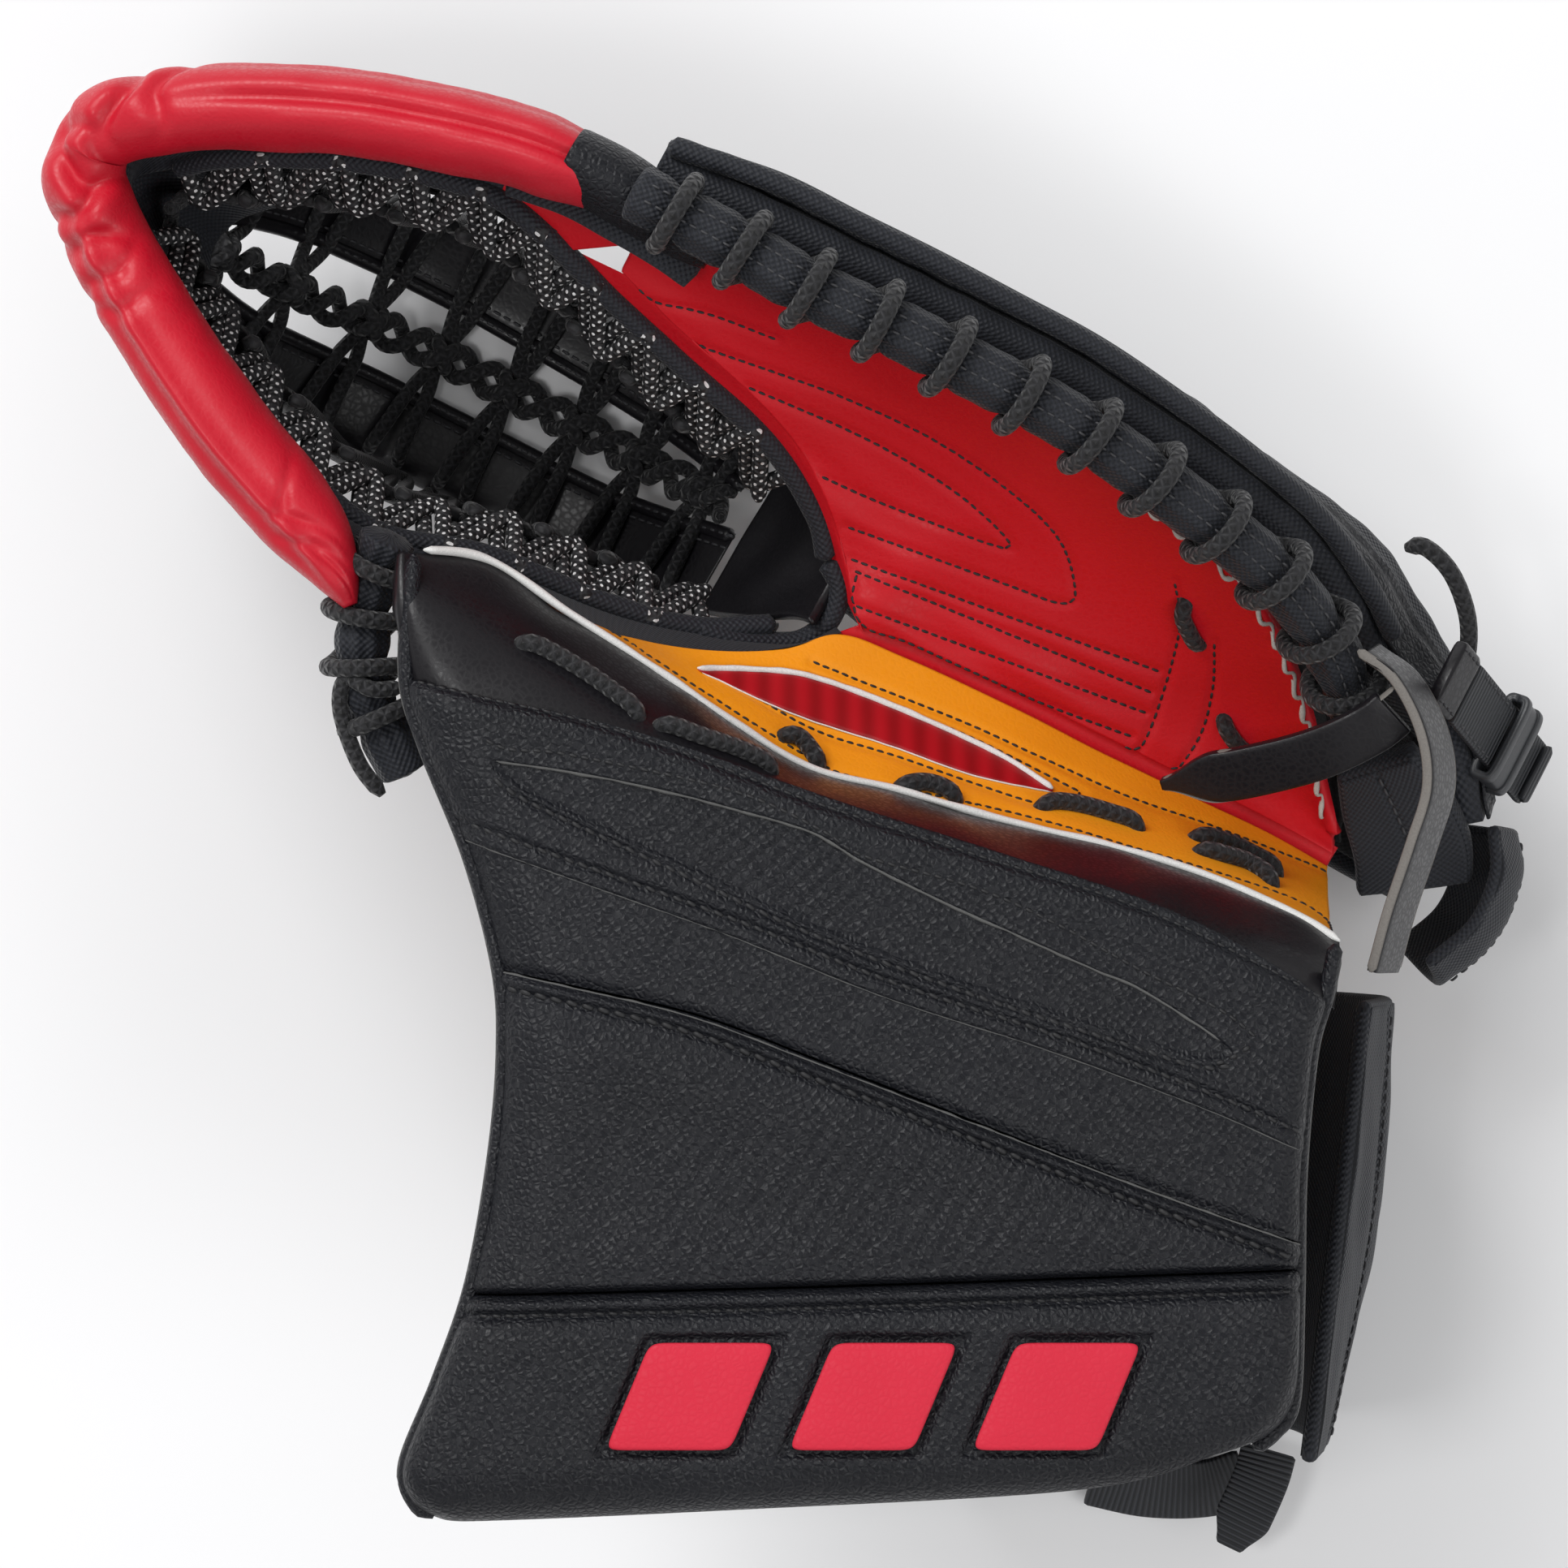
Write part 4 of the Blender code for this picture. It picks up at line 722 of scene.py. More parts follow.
def wall_grid(rows=60, columns=260):
    """The thumb wall's face, from under the panel to the piping, swollen by 5.4 mm times sin(pi v)^0.9."""
    crest = on_face(trimmed(FOLD_SEAM, -86.9, 124.8), columns, -2.4, -1.0)
    foot = smooth(PIPING_LINE, columns)
    grid = between(crest, foot, np.linspace(0, 0.985, rows),
                   lambda v, gap: 5.4 * np.sin(np.pi * np.clip(v, 0, 1)) ** 0.9 * np.minimum(1, gap / 28))
    lift = 0.4 * bumps(grid, 34, 41) + 0.25 * bumps(grid * np.array([0.5, 1.5, 1.0]), 17, 42)
    return grid + normals_of(grid) * lift[..., None]


wall = wall_grid()
inner_wall = wall - normals_of(wall) * (2.2 + 8.0 * (1 - np.linspace(0, 1, len(wall)))[:, None, None])
thumb_wall = piece("thumb_wall", [tube(shell(wall, inner_wall, 0.4)[:, ::-1])], smooth_leather)
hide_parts("thumb_wall_pad")
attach(thumb_wall, "thumb_side")

white_piping = thread_material("white_piping", (0.86, 0.86, 0.84), 0.7)
raised = piping_path[6:] + np.array([0, 0.2, 0.9])
piping = piece("thumb_piping_strip", [sweep(raised, 1.0 + 0.12 * bumps(raised, 12, 51), 1.3, 10)],
               white_piping)
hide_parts("thumb_piping")
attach(piping, "thumb_side")


def onto(grid, flat, lift=0.0):
    """Points of a surface, with their normals, that are seen under (x, y) points at the face's height."""
    shape = grid.reshape(-1, 3)
    normal = normals_of(grid).reshape(-1, 3)
    seen = shape[:, :2] * ((CAMERA_HEIGHT - FACE) / (CAMERA_HEIGHT - shape[:, 2]))[:, None]
    found, ways = [], []
    for spot in np.asarray(flat, float)[:, :2]:
        far = np.sum((seen - spot) ** 2, axis=1)
        near = np.argpartition(far, 6)[:6]
        weight = 1 / (far[near] + 0.02)
        weight /= weight.sum()
        found.append(weight @ shape[near])
        ways.append(weight @ normal[near])
    found, ways = np.array(found), unit(np.array(ways))
    return found + ways * lift, ways


def drawn_on(grid, points, lift=0.0, gap=1.2):
    """A line drawn through (x, y) points, laid on a surface grid; places and normals."""
    length = np.linalg.norm(np.diff(np.array(points, float)[:, :2], axis=0), axis=1).sum()
    line = smooth([(*p[:2], 0) for p in points], max(int(length / gap), 8))
    found, ways = onto(grid, line, lift)
    soft = np.array([0.25, 0.5, 0.25])
    for k in range(3):
        found[1:-1, k] = np.convolve(found[:, k], soft, "valid")
    return found, ways


FULL_TURN = 6.2832


def make_braid():
    """A braid's height over the layout (u along the lace, v round it): two crossing sets of strands."""
    made, given, out = group("lace_braid", [("Vector", "Vector", None)], [("Height", "Float")])
    split = made.nodes.new("ShaderNodeSeparateXYZ")
    made.links.new(given.outputs["Vector"], split.inputs[0])
    turn = math_node(made, "MULTIPLY", split.outputs[1], FULL_TURN / 3.3)
    run_on = math_node(made, "MULTIPLY", split.outputs[0], FULL_TURN / 2.6)
    left = math_node(made, "SINE", math_node(made, "ADD", run_on, turn))
    right = math_node(made, "SINE", math_node(made, "SUBTRACT", run_on, turn))
    made.links.new(math_node(made, "MULTIPLY_ADD", math_node(made, "MAXIMUM", left, right), 0.5, 0.5),
                   out.inputs[0])
    return made


braid = make_braid()


def lace_material(name, colour, bright, strength=1.0):
    """A woven round lace: painted darker in the gaps of its braid and lighter on its strands, a painted shade
    and painted highlight.
    """
    made, tree, shader = finish_material(name, colour, 0.6)
    node = surface_node(tree, braid, "UV")
    # Painted shade: the braid's gaps get a darker copy of the colour; the strands get the lighter one as a
    # painted highlight.
    dark = tuple(0.35 * c for c in colour)
    tree.links.new(mix_colour(tree, node.outputs["Height"], dark, bright), shader.inputs["Base Color"])
    bump(tree, shader, node.outputs["Height"], strength, 0.00055)
    shader.inputs["Specular IOR Level"].default_value = 0.3
    shader.inputs["Sheen Weight"].default_value = 0.15
    return made


black_lace = lace_material("black_lace", (0.006, 0.006, 0.007), (0.014, 0.014, 0.016))


def lace_run(points, radius=2.05):
    """A lace along a smooth curve through pattern points."""
    length = np.linalg.norm(np.diff(np.asarray(points, float), axis=0), axis=1).sum()
    path = smooth(points, max(int(length / 1.1), 10))
    return sweep(path, radius, radius, 12, ends=0.5)


def dived(grid, points, radius=2.05, deep=4.0):
    """A lace that lies on a surface and dives into it at both ends."""
    found, ways = drawn_on(grid, points, radius * 0.75, 2.0)
    sunk = np.ones(len(found))
    sunk[0] = sunk[-1] = -deep
    sunk[1] = sunk[-2] = 0.1
    return lace_run(found + ways * (sunk - 1)[:, None], radius)


wall_laces = [dived(wall, points) for points in (
    [(-60, 32), (-55.6, 30.2), (-47.1, 25.5), (-39, 20), (-31.5, 14.6)],
    [(-29, 13.6), (-19.3, 9.8), (-10.5, 6.7), (-1.5, 2.4)])]
wall_lacing = piece("thumb_wall_laces", wall_laces, black_lace)
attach(wall_lacing, "thumb_side")

# ---------------------------------------------------------------- palm: the crimson catching surface
# One hide of bright red leather hung from the break to the finger edge over a foam sheet, quilted to it by
# rows of black stitches; its outer edge is cut in scallops that show the raw pale hide.

palm_leather = leather("red_palm_leather", (0.47, 0.004, 0.010), (0.56, 0.005, 0.014), 0.5, 0.35, 0.1,
                       0.00014)

PALM_FOOT = [(0, 1.2, 64), (20, .8, 68), (51, -1.6, 74), (84, -4, 80), (112, -6.4, 85), (125, -8.5, 88.5),
             (136, 3, 91), (149, 14.5, 98.5), (167, 23, 108), (192, 28, 118), (212, 33, 126)]
PALM_HEAD = [(5, 5, 70), (14, 14.5, 82), (26, 26.5, 96), (45, 39, 112), (66, 45, 123), (89, 47.5, 131.5),
             (110, 48.5, 136.5), (131, 47.5, 140.5), (151, 46.5, 143.5), (171, 44.5, 145.5),
             (192, 44.5, 146.5), (212, 43, 147.5)]
PALM_STITCHES = [
    [(-19.5, 98.2), (14.5, 86), (38.9, 73.8), (60, 56.9), (65.3, 43), (62, 40.4), (49.6, 44.7), (14, 57.6)],
    [(-8.2, 88.9), (18.7, 77.1), (38.9, 64.9), (50.6, 54), (47, 53.4), (22.7, 62.5), (8.2, 68.9)],
    [(-34.9, 108.7), (-18, 105.5), (-1.6, 99.5)], [(14.7, 50.4), (84.2, 25.1)], [(15.6, 47.8), (82.5, 20.4)],
    [(11.5, 41.5), (81.3, 15.8)], [(9.8, 35.6), (78, 10.5)],
    [(87.5, 45.1), (88.5, 34), (81.3, 10.5), (73.3, 2)],
    [(96.4, 31.6), (96, 21.1), (92.7, 9.8), (83.8, -2.4)], [(16.4, 47.1), (13.5, 37.5), (9.5, 29.3)]]


def palm_grid(rows=110, columns=320, drop=0.0):
    """The palm's face: it sags between its two long edges by 0.15 of its width, square to them."""
    foot = smooth(fold(PALM_FOOT), columns)
    head = smooth(fold(PALM_HEAD), columns)
    chord = head - foot
    way = unit(np.cross(chord, ALONG))
    way = way * -np.sign(way[:, 2:3])
    v = np.linspace(0.005, 0.995, rows)[:, None, None]
    sag = 0.15 * np.linalg.norm(chord, axis=1)[None, :, None] * np.sin(np.pi * v)
    return foot[None] + chord[None] * v + way[None] * (sag + drop)


def sewn(grid, lines, depth=0.55, width=1.1):
    """The grid with a groove pressed along each drawn line, and the lines as paths on it with normals."""
    seen = grid[..., :2] * ((CAMERA_HEIGHT - FACE) / (CAMERA_HEIGHT - grid[..., 2]))[..., None]
    sink = np.zeros(grid.shape[:2])
    for points in lines:
        line = smooth([(*p, 0) for p in points], 120)[:, :2]
        far = np.full(sink.shape, 1e9)
        for spot in line:
            far = np.minimum(far, (seen[..., 0] - spot[0]) ** 2 + (seen[..., 1] - spot[1]) ** 2)
        sink = np.maximum(sink, np.exp(-far / width**2))
    made = grid - normals_of(grid) * (sink * depth)[..., None]
    return made, [drawn_on(made, points, 0.0) for points in lines]


palm = palm_grid()
near_break = np.linspace(0, 1, len(palm))[:, None]
creases = bumps(palm @ np.stack([ALONG, 4.5 * ACROSS, [0, 0, 1]], 1), 30, 61) * bell(near_break - 0.06, 0.16)
palm = palm + normals_of(palm) * (0.35 * bumps(palm, 42, 62) + 0.8 * creases)[..., None]
palm, palm_lines = sewn(palm, PALM_STITCHES)
palm_sheet = piece("palm_sheet", [tube(shell(palm, palm - normals_of(palm) * 2.9, 0.2)[:, ::-1])],
                   palm_leather)
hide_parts("palm_leather")
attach(palm_sheet, "finger_side")

palm_rows = [stitches(path, 2.4, 1.9, 0.34, up=ways) for path, ways in palm_lines]
palm_stitching = piece("palm_stitching", palm_rows, black_thread)
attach(palm_stitching, "finger_side")

pale_edge = thread_material("pale_cut_edge", (0.55, 0.50, 0.46), 0.85)
head_line = palm[-2, 6:150] + np.array([0, 0, 0.3])
torn = head_line + 1.1 * np.sin(np.arange(len(head_line)) * 0.62)[:, None] * np.array([-0.35, -0.9, 0.0])
palm_raw_edge = piece("palm_scalloped_edge", [ragged_edge(torn, 0.55, 64)], pale_edge)
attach(palm_raw_edge, "finger_side")

palm_laces = piece("palm_edge_laces", [dived(palm, line, 2.0) for line in (
    [(89.8, 41.5), (90.3, 37), (93.5, 30.2)], [(98, 15.2), (100.5, 11), (104.2, 6.8)])], black_lace)
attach(palm_laces, "finger_side")

# ---------------------------------------------------------------- gold band and its inset
# A gold-orange leather gusset between the thumb wall and the break, edged by two rows of black stitches,
# with a long crimson blade of ribbed leather let into it whose upper edge is left raw and white. Round lace
# runs along it in slots.

gold_leather = leather("gold_leather", (0.80, 0.27, 0.006), (0.88, 0.33, 0.010), 0.45, 0.35, 0.15, 0.00014)

BAND_LINE = [(204, -41, 115), (176, -39, 105), (156, -33, 98), (138, -22, 93), (128, -12, 89), (112, -9, 85),
             (84, -6.4, 80), (51, -4.3, 74), (20, -2, 68), (0, -1.5, 64)]


def band_grid(rows=70, columns=300):
    """The gold band: a shallow trough of a tenth of its width between the piping and the break."""
    foot = smooth(PIPING_LINE, 400)[28:]
    foot = smooth(foot[::8], columns)
    crease = smooth(fold(BAND_LINE), columns)
    gap = np.linalg.norm(crease - foot, axis=1)[None, :, None]
    near, far = 1.2 / gap, 1 - 0.9 / gap
    v = np.linspace(0, 1, rows)[:, None, None]
    share = near + (far - near) * v
    dip = 0.10 * gap * np.sin(np.pi * v)
    return foot[None] * (1 - share) + crease[None] * share - dip * np.array([0, 0, 1.0])


BAND_STITCHES = [
    [(6.2, 27.5), (24.4, 20.2), (42.5, 12.9), (66.2, 2), (78.9, -3.5), (97.1, -9.8), (122.5, -19.8)],
    [(6.2, 24.4), (24.4, 17.5), (42.5, 10.2), (64, -.6), (67, -2.4), (62.9, -3.5)],
    [(-15, 25), (6.2, 12.4), (24.4, 6.5), (42.5, .2), (57.1, -4.4), (62.9, -3.5)],
    [(-38, 34), (-20, 22), (6.2, 5.6), (17.1, 1.1), (42.5, -4.4), (60.7, -8.9), (78.9, -14.4), (97.1, -19.8),
     (115.3, -26.2), (124.4, -32.5)]]
INSET = ([(-19.3, 25.6), (-7, 25.4), (6.2, 23.8), (26.2, 16.5), (48, 6.5), (60.2, -1.3)],
         [(-18.4, 25.1), (2.5, 15.6), (24.4, 8.4), (42.5, 2), (60.2, -1.8)])

band = band_grid()
band = band + normals_of(band) * (0.3 * bumps(band, 28, 71))[..., None]
band, band_lines = sewn(band, BAND_STITCHES, 0.5, 1.0)
gold_band = piece("gold_band", [tube(shell(band, band - normals_of(band) * 4.6, 0.1))], gold_leather)
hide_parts("gusset_band")
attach(gold_band, "thumb_side")
band_stitching = piece("gold_band_stitching",
                       [stitches(path, 2.4, 1.9, 0.34, up=ways) for path, ways in band_lines],
                       black_thread)
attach(band_stitching, "thumb_side")


def make_inset_red():
    """Crimson leather with faint slanted ribs, painted lighter on their crests and darker in their troughs: a
    painted highlight and painted shade.
    """
    made, tree, shader = finish_material("red_inset_leather", (0.34, 0.002, 0.006), 0.45)
    where = tree.nodes.new("ShaderNodeTexCoord")
    ribs = texture(tree, "Wave", where.outputs["Object"], 52, "Fac", wave_type="BANDS", bands_direction="X")
    # Painted shade in the rib troughs and painted highlight on the rib crests.
    tree.links.new(mix_colour(tree, ribs, (0.26, 0.002, 0.005), (0.40, 0.004, 0.010)),
                   shader.inputs["Base Color"])
    bump(tree, shader, ribs, 0.25, 0.0002)
    return made


upper, lower = (drawn_on(band, line, 0.0)[0] for line in INSET)
upper, lower = smooth(upper, 160), smooth(lower, 160)
across = np.linspace(0, 1, 10)[:, None, None]
blade = upper[None] * (1 - across) + lower[None] * across
blade_normal = np.array([0, 0, 1.0])
blade_top = blade + blade_normal * (0.75 + 0.25 * np.sin(np.pi * across))
inset = piece("crimson_blade_inset", [tube(shell(blade_top, blade - blade_normal * 2.2, 0.1))],
              make_inset_red())
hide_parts("gusset_inset")
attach(inset, "thumb_side")
white_lip = piece("inset_white_edge", [
    sweep(smooth(upper + np.array([0, 0.3, 0.8]), 140), 0.75 + 0.15 * bumps(smooth(upper, 140), 8, 72), 0.55,
          8),
    sweep(smooth(lower + np.array([0, -0.1, 0.5]), 140), 0.22, 0.3, 8)], white_piping)
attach(white_lip, "thumb_side")

gold_laces = [dived(band, line, 2.1, 4.5) for line in (
    [(-1.1, 11.1), (3.5, 9.3), (8.4, 2.9)], [(24.4, -2.2), (29.8, -.4), (34, -1.2), (39.8, -4)],
    [(56.2, -5.3), (62, -5.2), (68, -6.2), (80.7, -10.2)],
    [(90.7, -11.6), (95.7, -13.2), (100.7, -14.9), (111.6, -20.7)],
    [(91.7, -14.6), (97, -16.8), (103, -18.4), (110.6, -23.2)])]
lace_row = piece("gold_band_laces", gold_laces, black_lace)
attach(lace_row, "thumb_side")

# ---------------------------------------------------------------- break: the soft strip under the crease
# A narrow strip of the palm's own crimson hide joins the gold band to the palm and takes the bend.
# It blends between the two sides.

band_side, palm_side = smooth(fold(BAND_LINE[4:]), 260), smooth(fold(PALM_FOOT[:6]), 260)[::-1]
share = np.linspace(-0.6, 1.8, 14)[:, None, None]
strip = band_side[None] + (palm_side - band_side)[None] * share
strip = strip - np.array([0, 0, 1.0]) * (0.5 + 1.6 * np.sin(np.pi * np.linspace(0, 1, 14)))[:, None, None]
break_strip = piece("palm_break_strip", [tube(shell(strip, strip - np.array([0, 0, 1.3]), 0.2))],
                    palm_leather)
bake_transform(break_strip)

# ---------------------------------------------------------------- finger edge: the wrapped roll and its lace
# A round foam roll in black nylon along the fingertips' edge, pinched into sections by the thick braided lace
# that winds round it and ties it to the palm and the backhand.


def make_weave():
    """Plain-woven nylon's height over the layout: warp and weft threads 0.8 mm apart go over and under."""
    made, given, out = group("nylon_weave", [("Vector", "Vector", None)], [("Height", "Float")])
    split = made.nodes.new("ShaderNodeSeparateXYZ")
    made.links.new(given.outputs["Vector"], split.inputs[0])
    waves = [math_node(made, "SINE", math_node(made, "MULTIPLY", split.outputs[k], FULL_TURN / 1.6))
             for k in (0, 1)]
    both = math_node(made, "MULTIPLY", waves[0], waves[1])
    made.links.new(math_node(made, "MULTIPLY_ADD", both, 0.5, 0.5), out.inputs[0])
    return made


weave = make_weave()


def nylon(name, dark, bright, depth=0.0004):
    """Woven nylon: the raised threads are painted lighter than the hollows between them, a painted highlight
    and painted shade.
    """
    made, tree, shader = finish_material(name, dark, 0.62)
    node = surface_node(tree, weave, "UV")
    # Painted highlight on the raised threads and painted shade in the hollows of the weave.
    tree.links.new(mix_colour(tree, node.outputs["Height"], dark, bright), shader.inputs["Base Color"])
    bump(tree, shader, node.outputs["Height"], 0.7, depth)
    shader.inputs["Specular IOR Level"].default_value = 0.3
    shader.inputs["Sheen Weight"].default_value = 0.08
    return made


black_nylon = nylon("black_nylon", (0.005, 0.006, 0.009), (0.016, 0.018, 0.025))

FINGER_EDGE = [(15, 31, 102), (28, 40, 114), (46, 47, 126), (66, 50, 135), (89, 52, 143), (110, 53, 148),
               (131, 52, 152), (151, 51, 155), (171, 49, 157), (192, 49, 158), (218, 48, 159)]
WRAPS = [206, 189, 172, 155, 137.5, 119, 101, 84, 66, 49, 33, 21]   # stations of the lace along the break


def station(points):
    """How far along the break points lie."""
    return (np.asarray(points)[..., :3] - HEEL) @ ALONG


def wrapped_roll(path, at, radius, wraps, sides=44, ribs=9, pinch=0.9):
    """A roll's rings: pinched where the lace goes round, with soft ribs of gathered cloth between.

    at is each path point's own position, measured as the wraps are.
    """
    _, side, rise = frames(path, (0, 0, 1))
    a = (2 * np.pi * np.arange(sides) / sides)[None, :]
    row = np.arange(len(path))[:, None]
    near = np.min(np.abs(at[:, None] - np.array(wraps)[None, :]), axis=1)[:, None]
    r = radius - pinch * bell(near, 3.0) + 0.25 * step(near - 4, 4)
    r = r + 0.28 * np.cos(ribs * a + 0.5 * np.sin(at[:, None] / 9)) * (0.4 + bell(near - 4, 4))
    r = r * (1 - 0.86 * bell(row, 2.0) - 0.86 * bell(len(path) - 1 - row, 2.0))
    rings = path[:, None] + side[:, None] * (r * np.cos(a))[..., None]
    return rings + rise[:, None] * (r * 1.06 * np.sin(a))[..., None]


def wound_lace(path, measure, wraps, radius, gauge=2.05, slant=3.0):
    """One lace that goes once round a path at each wrap and moves on to the next underneath it.

    measure is each path point's own position; the lace turns through 360 degrees from underneath.
    """
    _, side, rise = frames(path, (0, 0, 1))
    order = np.argsort(measure)
    grid = np.hstack([path, side, rise])[order]
    points = []
    for k, wrap in enumerate(wraps):
        for f in np.linspace(0, 1, 15, endpoint=False):
            on = wrap + slant * (f - 0.5)
            if f < 0.16 and k > 0:
                on = wrap + (wraps[k - 1] - wrap) * (0.5 - f / 0.32) + slant * (f - 0.5)
            if f > 0.84 and k + 1 < len(wraps):
                on = wrap + (wraps[k + 1] - wrap) * ((f - 0.84) / 0.32) + slant * (f - 0.5)
            here = np.array([np.interp(on, measure[order], column) for column in grid.T])
            angle = -np.pi / 2 + 2 * np.pi * f
            points.append(here[:3] + here[3:6] * radius * np.cos(angle) + here[6:] * radius * np.sin(angle))
    return lace_run(points, gauge)


edge_path = smooth(fold(FINGER_EDGE), 420)
roll = piece("finger_edge_wrapped_roll", [tube(wrapped_roll(edge_path, station(edge_path), 6.3, WRAPS))],
             black_nylon)
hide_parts("finger_edge_roll")
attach(roll, "finger_side")

grey_thread = thread_material("grey_thread", (0.045, 0.045, 0.05))
_, roll_side, roll_rise = frames(edge_path, (0, 0, 1))
dashes = []
for angle in (1.15, 1.75):
    way = roll_side * np.cos(angle) + roll_rise * np.sin(angle)
    dashes.append(stitches((edge_path + way * 6.75)[8:-8], 2.8, 2.0, 0.3, up=way[8:-8]))
roll_stitching = piece("finger_edge_stitching", dashes, grey_thread)
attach(roll_stitching, "finger_side")

winding = piece("finger_edge_winding_lace", [wound_lace(edge_path, station(edge_path), WRAPS, 8.5)],
                black_lace)
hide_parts("finger_edge_lacing")
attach(winding, "finger_side")

# ---------------------------------------------------------------- backhand: shell, liner and bound edges
# The padded back of the fingers: a nylon-covered foam shell with a leather cap, quilted lengthways, a soft
# lining inside and bound edges that show beyond the finger roll.

BACKHAND = [(-25, 25, 72, 39, 56, 35, 32, 18, 14, 3, 11), (-12, 38, 80, 49, 60, 43, 32, 22, 8, 2, 6),
            (15, 47, 88, 65, 68, 55, 34, 27, 5, 2, 3), (28, 54, 99, 70, 74, 60, 36, 29, 5, 3, 3),
            (46, 61, 110, 73, 78, 62, 38, 31, 6, 4, 4), (66, 64, 120, 75, 81, 64, 42, 32, 9, 7, 6),
            (89, 66, 128, 77, 84, 66, 48, 34, 15, 14, 9), (110, 67, 133, 78, 87, 66, 54, 38, 24, 24, 17),
            (131, 66, 137, 77, 92, 66, 62, 43, 36, 34, 29), (151, 65, 140, 75, 97, 65, 70, 48, 48, 42, 41),
            (171, 63.5, 142, 72, 102, 64, 78, 52, 60, 47, 53),
            (192, 62, 143, 69, 107, 63, 88, 55, 72, 51, 65),
            (216, 61, 143, 64, 118, 61, 102, 56, 88, 53, 80)]


def backhand_grid(rows=230, columns=80):
    """The backhand's outer face: a smooth curve through five (across, height) points at each station."""
    given = [(row[0], 0, 0, *row[1:]) for row in BACKHAND]
    rings = []
    for row in smooth(given, rows):
        curve = smooth([(row[3 + 2 * k], row[4 + 2 * k], 0) for k in range(5)], columns)
        rings.append(fold([(row[0], u, z) for u, z, _ in curve]))
    return np.array(rings)


backhand = backhand_grid()
out_ways = normals_of(backhand, ACROSS)
v = np.linspace(0, 1, backhand.shape[1])[None, :]
quilt = -0.9 * sum(bell(v - at_row, 0.012) for at_row in (0.17, 0.33, 0.52, 0.74))
layers = 0.9 * step(0.10 - v, 0.012) - 0.5 * bell(v - 0.115, 0.01)
face = backhand + out_ways * (quilt + layers + 0.5 * bumps(backhand, 26, 81)
                              + 0.25 * bumps(backhand, 9, 82))[..., None]
inside_face = backhand - out_ways * 8.4


def with_edges(outer, inner, edge=1.5):
    """A closed sheet between two faces whose side edges are rounded out by edge."""
    return tube(shell(outer, inner, edge)[:, ::-1])


back_shell = piece("backhand_quilted_shell", [with_edges(face, inside_face)], black_nylon)
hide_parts("backhand_shell")
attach(back_shell, "finger_side")

cap_rows = slice(1, 11)
cap = face[:, cap_rows] + out_ways[:, cap_rows] * 0.6
leather_cap = piece("backhand_leather_cap", [with_edges(cap + out_ways[:, cap_rows] * 0.9, cap, 0.4)],
                    black_leather)
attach(leather_cap, "finger_side")
quilt_rows = [stitches(face[4:-4, k] + out_ways[4:-4, k] * 0.3, 3.0, 2.3, 0.4, up=out_ways[4:-4, k])
              for k in (9, 26, 41, 59)]
backhand_stitching = piece("backhand_stitching", quilt_rows, grey_thread)
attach(backhand_stitching, "finger_side")

lining = backhand - out_ways * 9.3
padding = lining - out_ways * (2.2 + 0.5 * bumps(backhand, 12, 84))[..., None]
soft_lining = nylon("black_lining", (0.008, 0.008, 0.009), (0.020, 0.020, 0.022), 0.0003)
inner_lining = piece("backhand_soft_liner", [with_edges(lining[3:-3, 2:-2], padding[3:-3, 2:-2], 0.5)],
                     soft_lining)
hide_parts("backhand_liner")
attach(inner_lining, "finger_side")

near_front = [0.25 if row[0] > 200 else 1.0 for row in BACKHAND[2:]]
rim_of_back = smooth(fold([(row[0], row[1] + 4.4 * k, row[2] + 2.6 * k) for row,
                           k in zip(BACKHAND[2:], near_front)]), 300)
second = smooth(fold([(row[0], row[1] + 6.2 * k, row[2] - 5.0) for row, k in zip(BACKHAND[2:], near_front)]),
                300)
bound = piece("backhand_bound_edges", [
    sweep(rim_of_back, 2.5 + 0.1 * bumps(rim_of_back, 7, 85), 2.4, 14),
    sweep(second, 1.7, 2.3, 12)], black_nylon)
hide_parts("backhand_binding")
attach(bound, "finger_side")

# s along the break, u across it, height, half the width and half the height
ROLL_CAP = [(233, 47.6, 150.8, 7.9, 13.9), (222, 48, 150.8, 8.2, 13.2), (212, 47.6, 150, 7.8, 11.4),
            (202, 47, 149.5, 6.8, 8.6), (195, 47, 149.5, 5.6, 6.4)]
cap_line = smooth(fold(ROLL_CAP), 60)
rim_cap = piece("rim_end_cap", [sweep(cap_line[:, :3], cap_line[:, 3], cap_line[:, 4], 40, ends=0.97)],
                black_leather)
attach(rim_cap, "finger_side")

# ---------------------------------------------------------------- pocket: bound edges and side skirts
# The pocket's mouth is bound in black nylon; below the binding a skirt of the same cloth leads to the net.

POCKET = {
    "finger": ([(314, 3, 112), (302, 12, 120), (276, 25, 126), (248, 33, 130), (231, 31.5, 130),
                (212, 27, 120),
                (191, 22.5, 112), (165, 17.5, 101), (147, 9, 91), (139, 1, 86)],
               [(311, 7, 60), (293, 16, 31), (262, 21, 7), (230, 22, 2.6), (194, 21, 10), (166, 17, 34)], 1),
    "thumb": ([(314, -13, 108), (293, -26, 109), (265, -39, 109), (234, -46, 108), (208, -38, 104),
               (180, -34, 97),
               (158, -28, 89), (142, -18, 84)],
              [(311, -21, 56), (290, -25, 31), (258, -22, 7), (226, -20, 2.6), (192, -18, 10),
               (162, -13, 34)], -1)}


def across_net(made):
    """Bakes a piece of the pocket's placing into its mesh."""
    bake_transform(made)


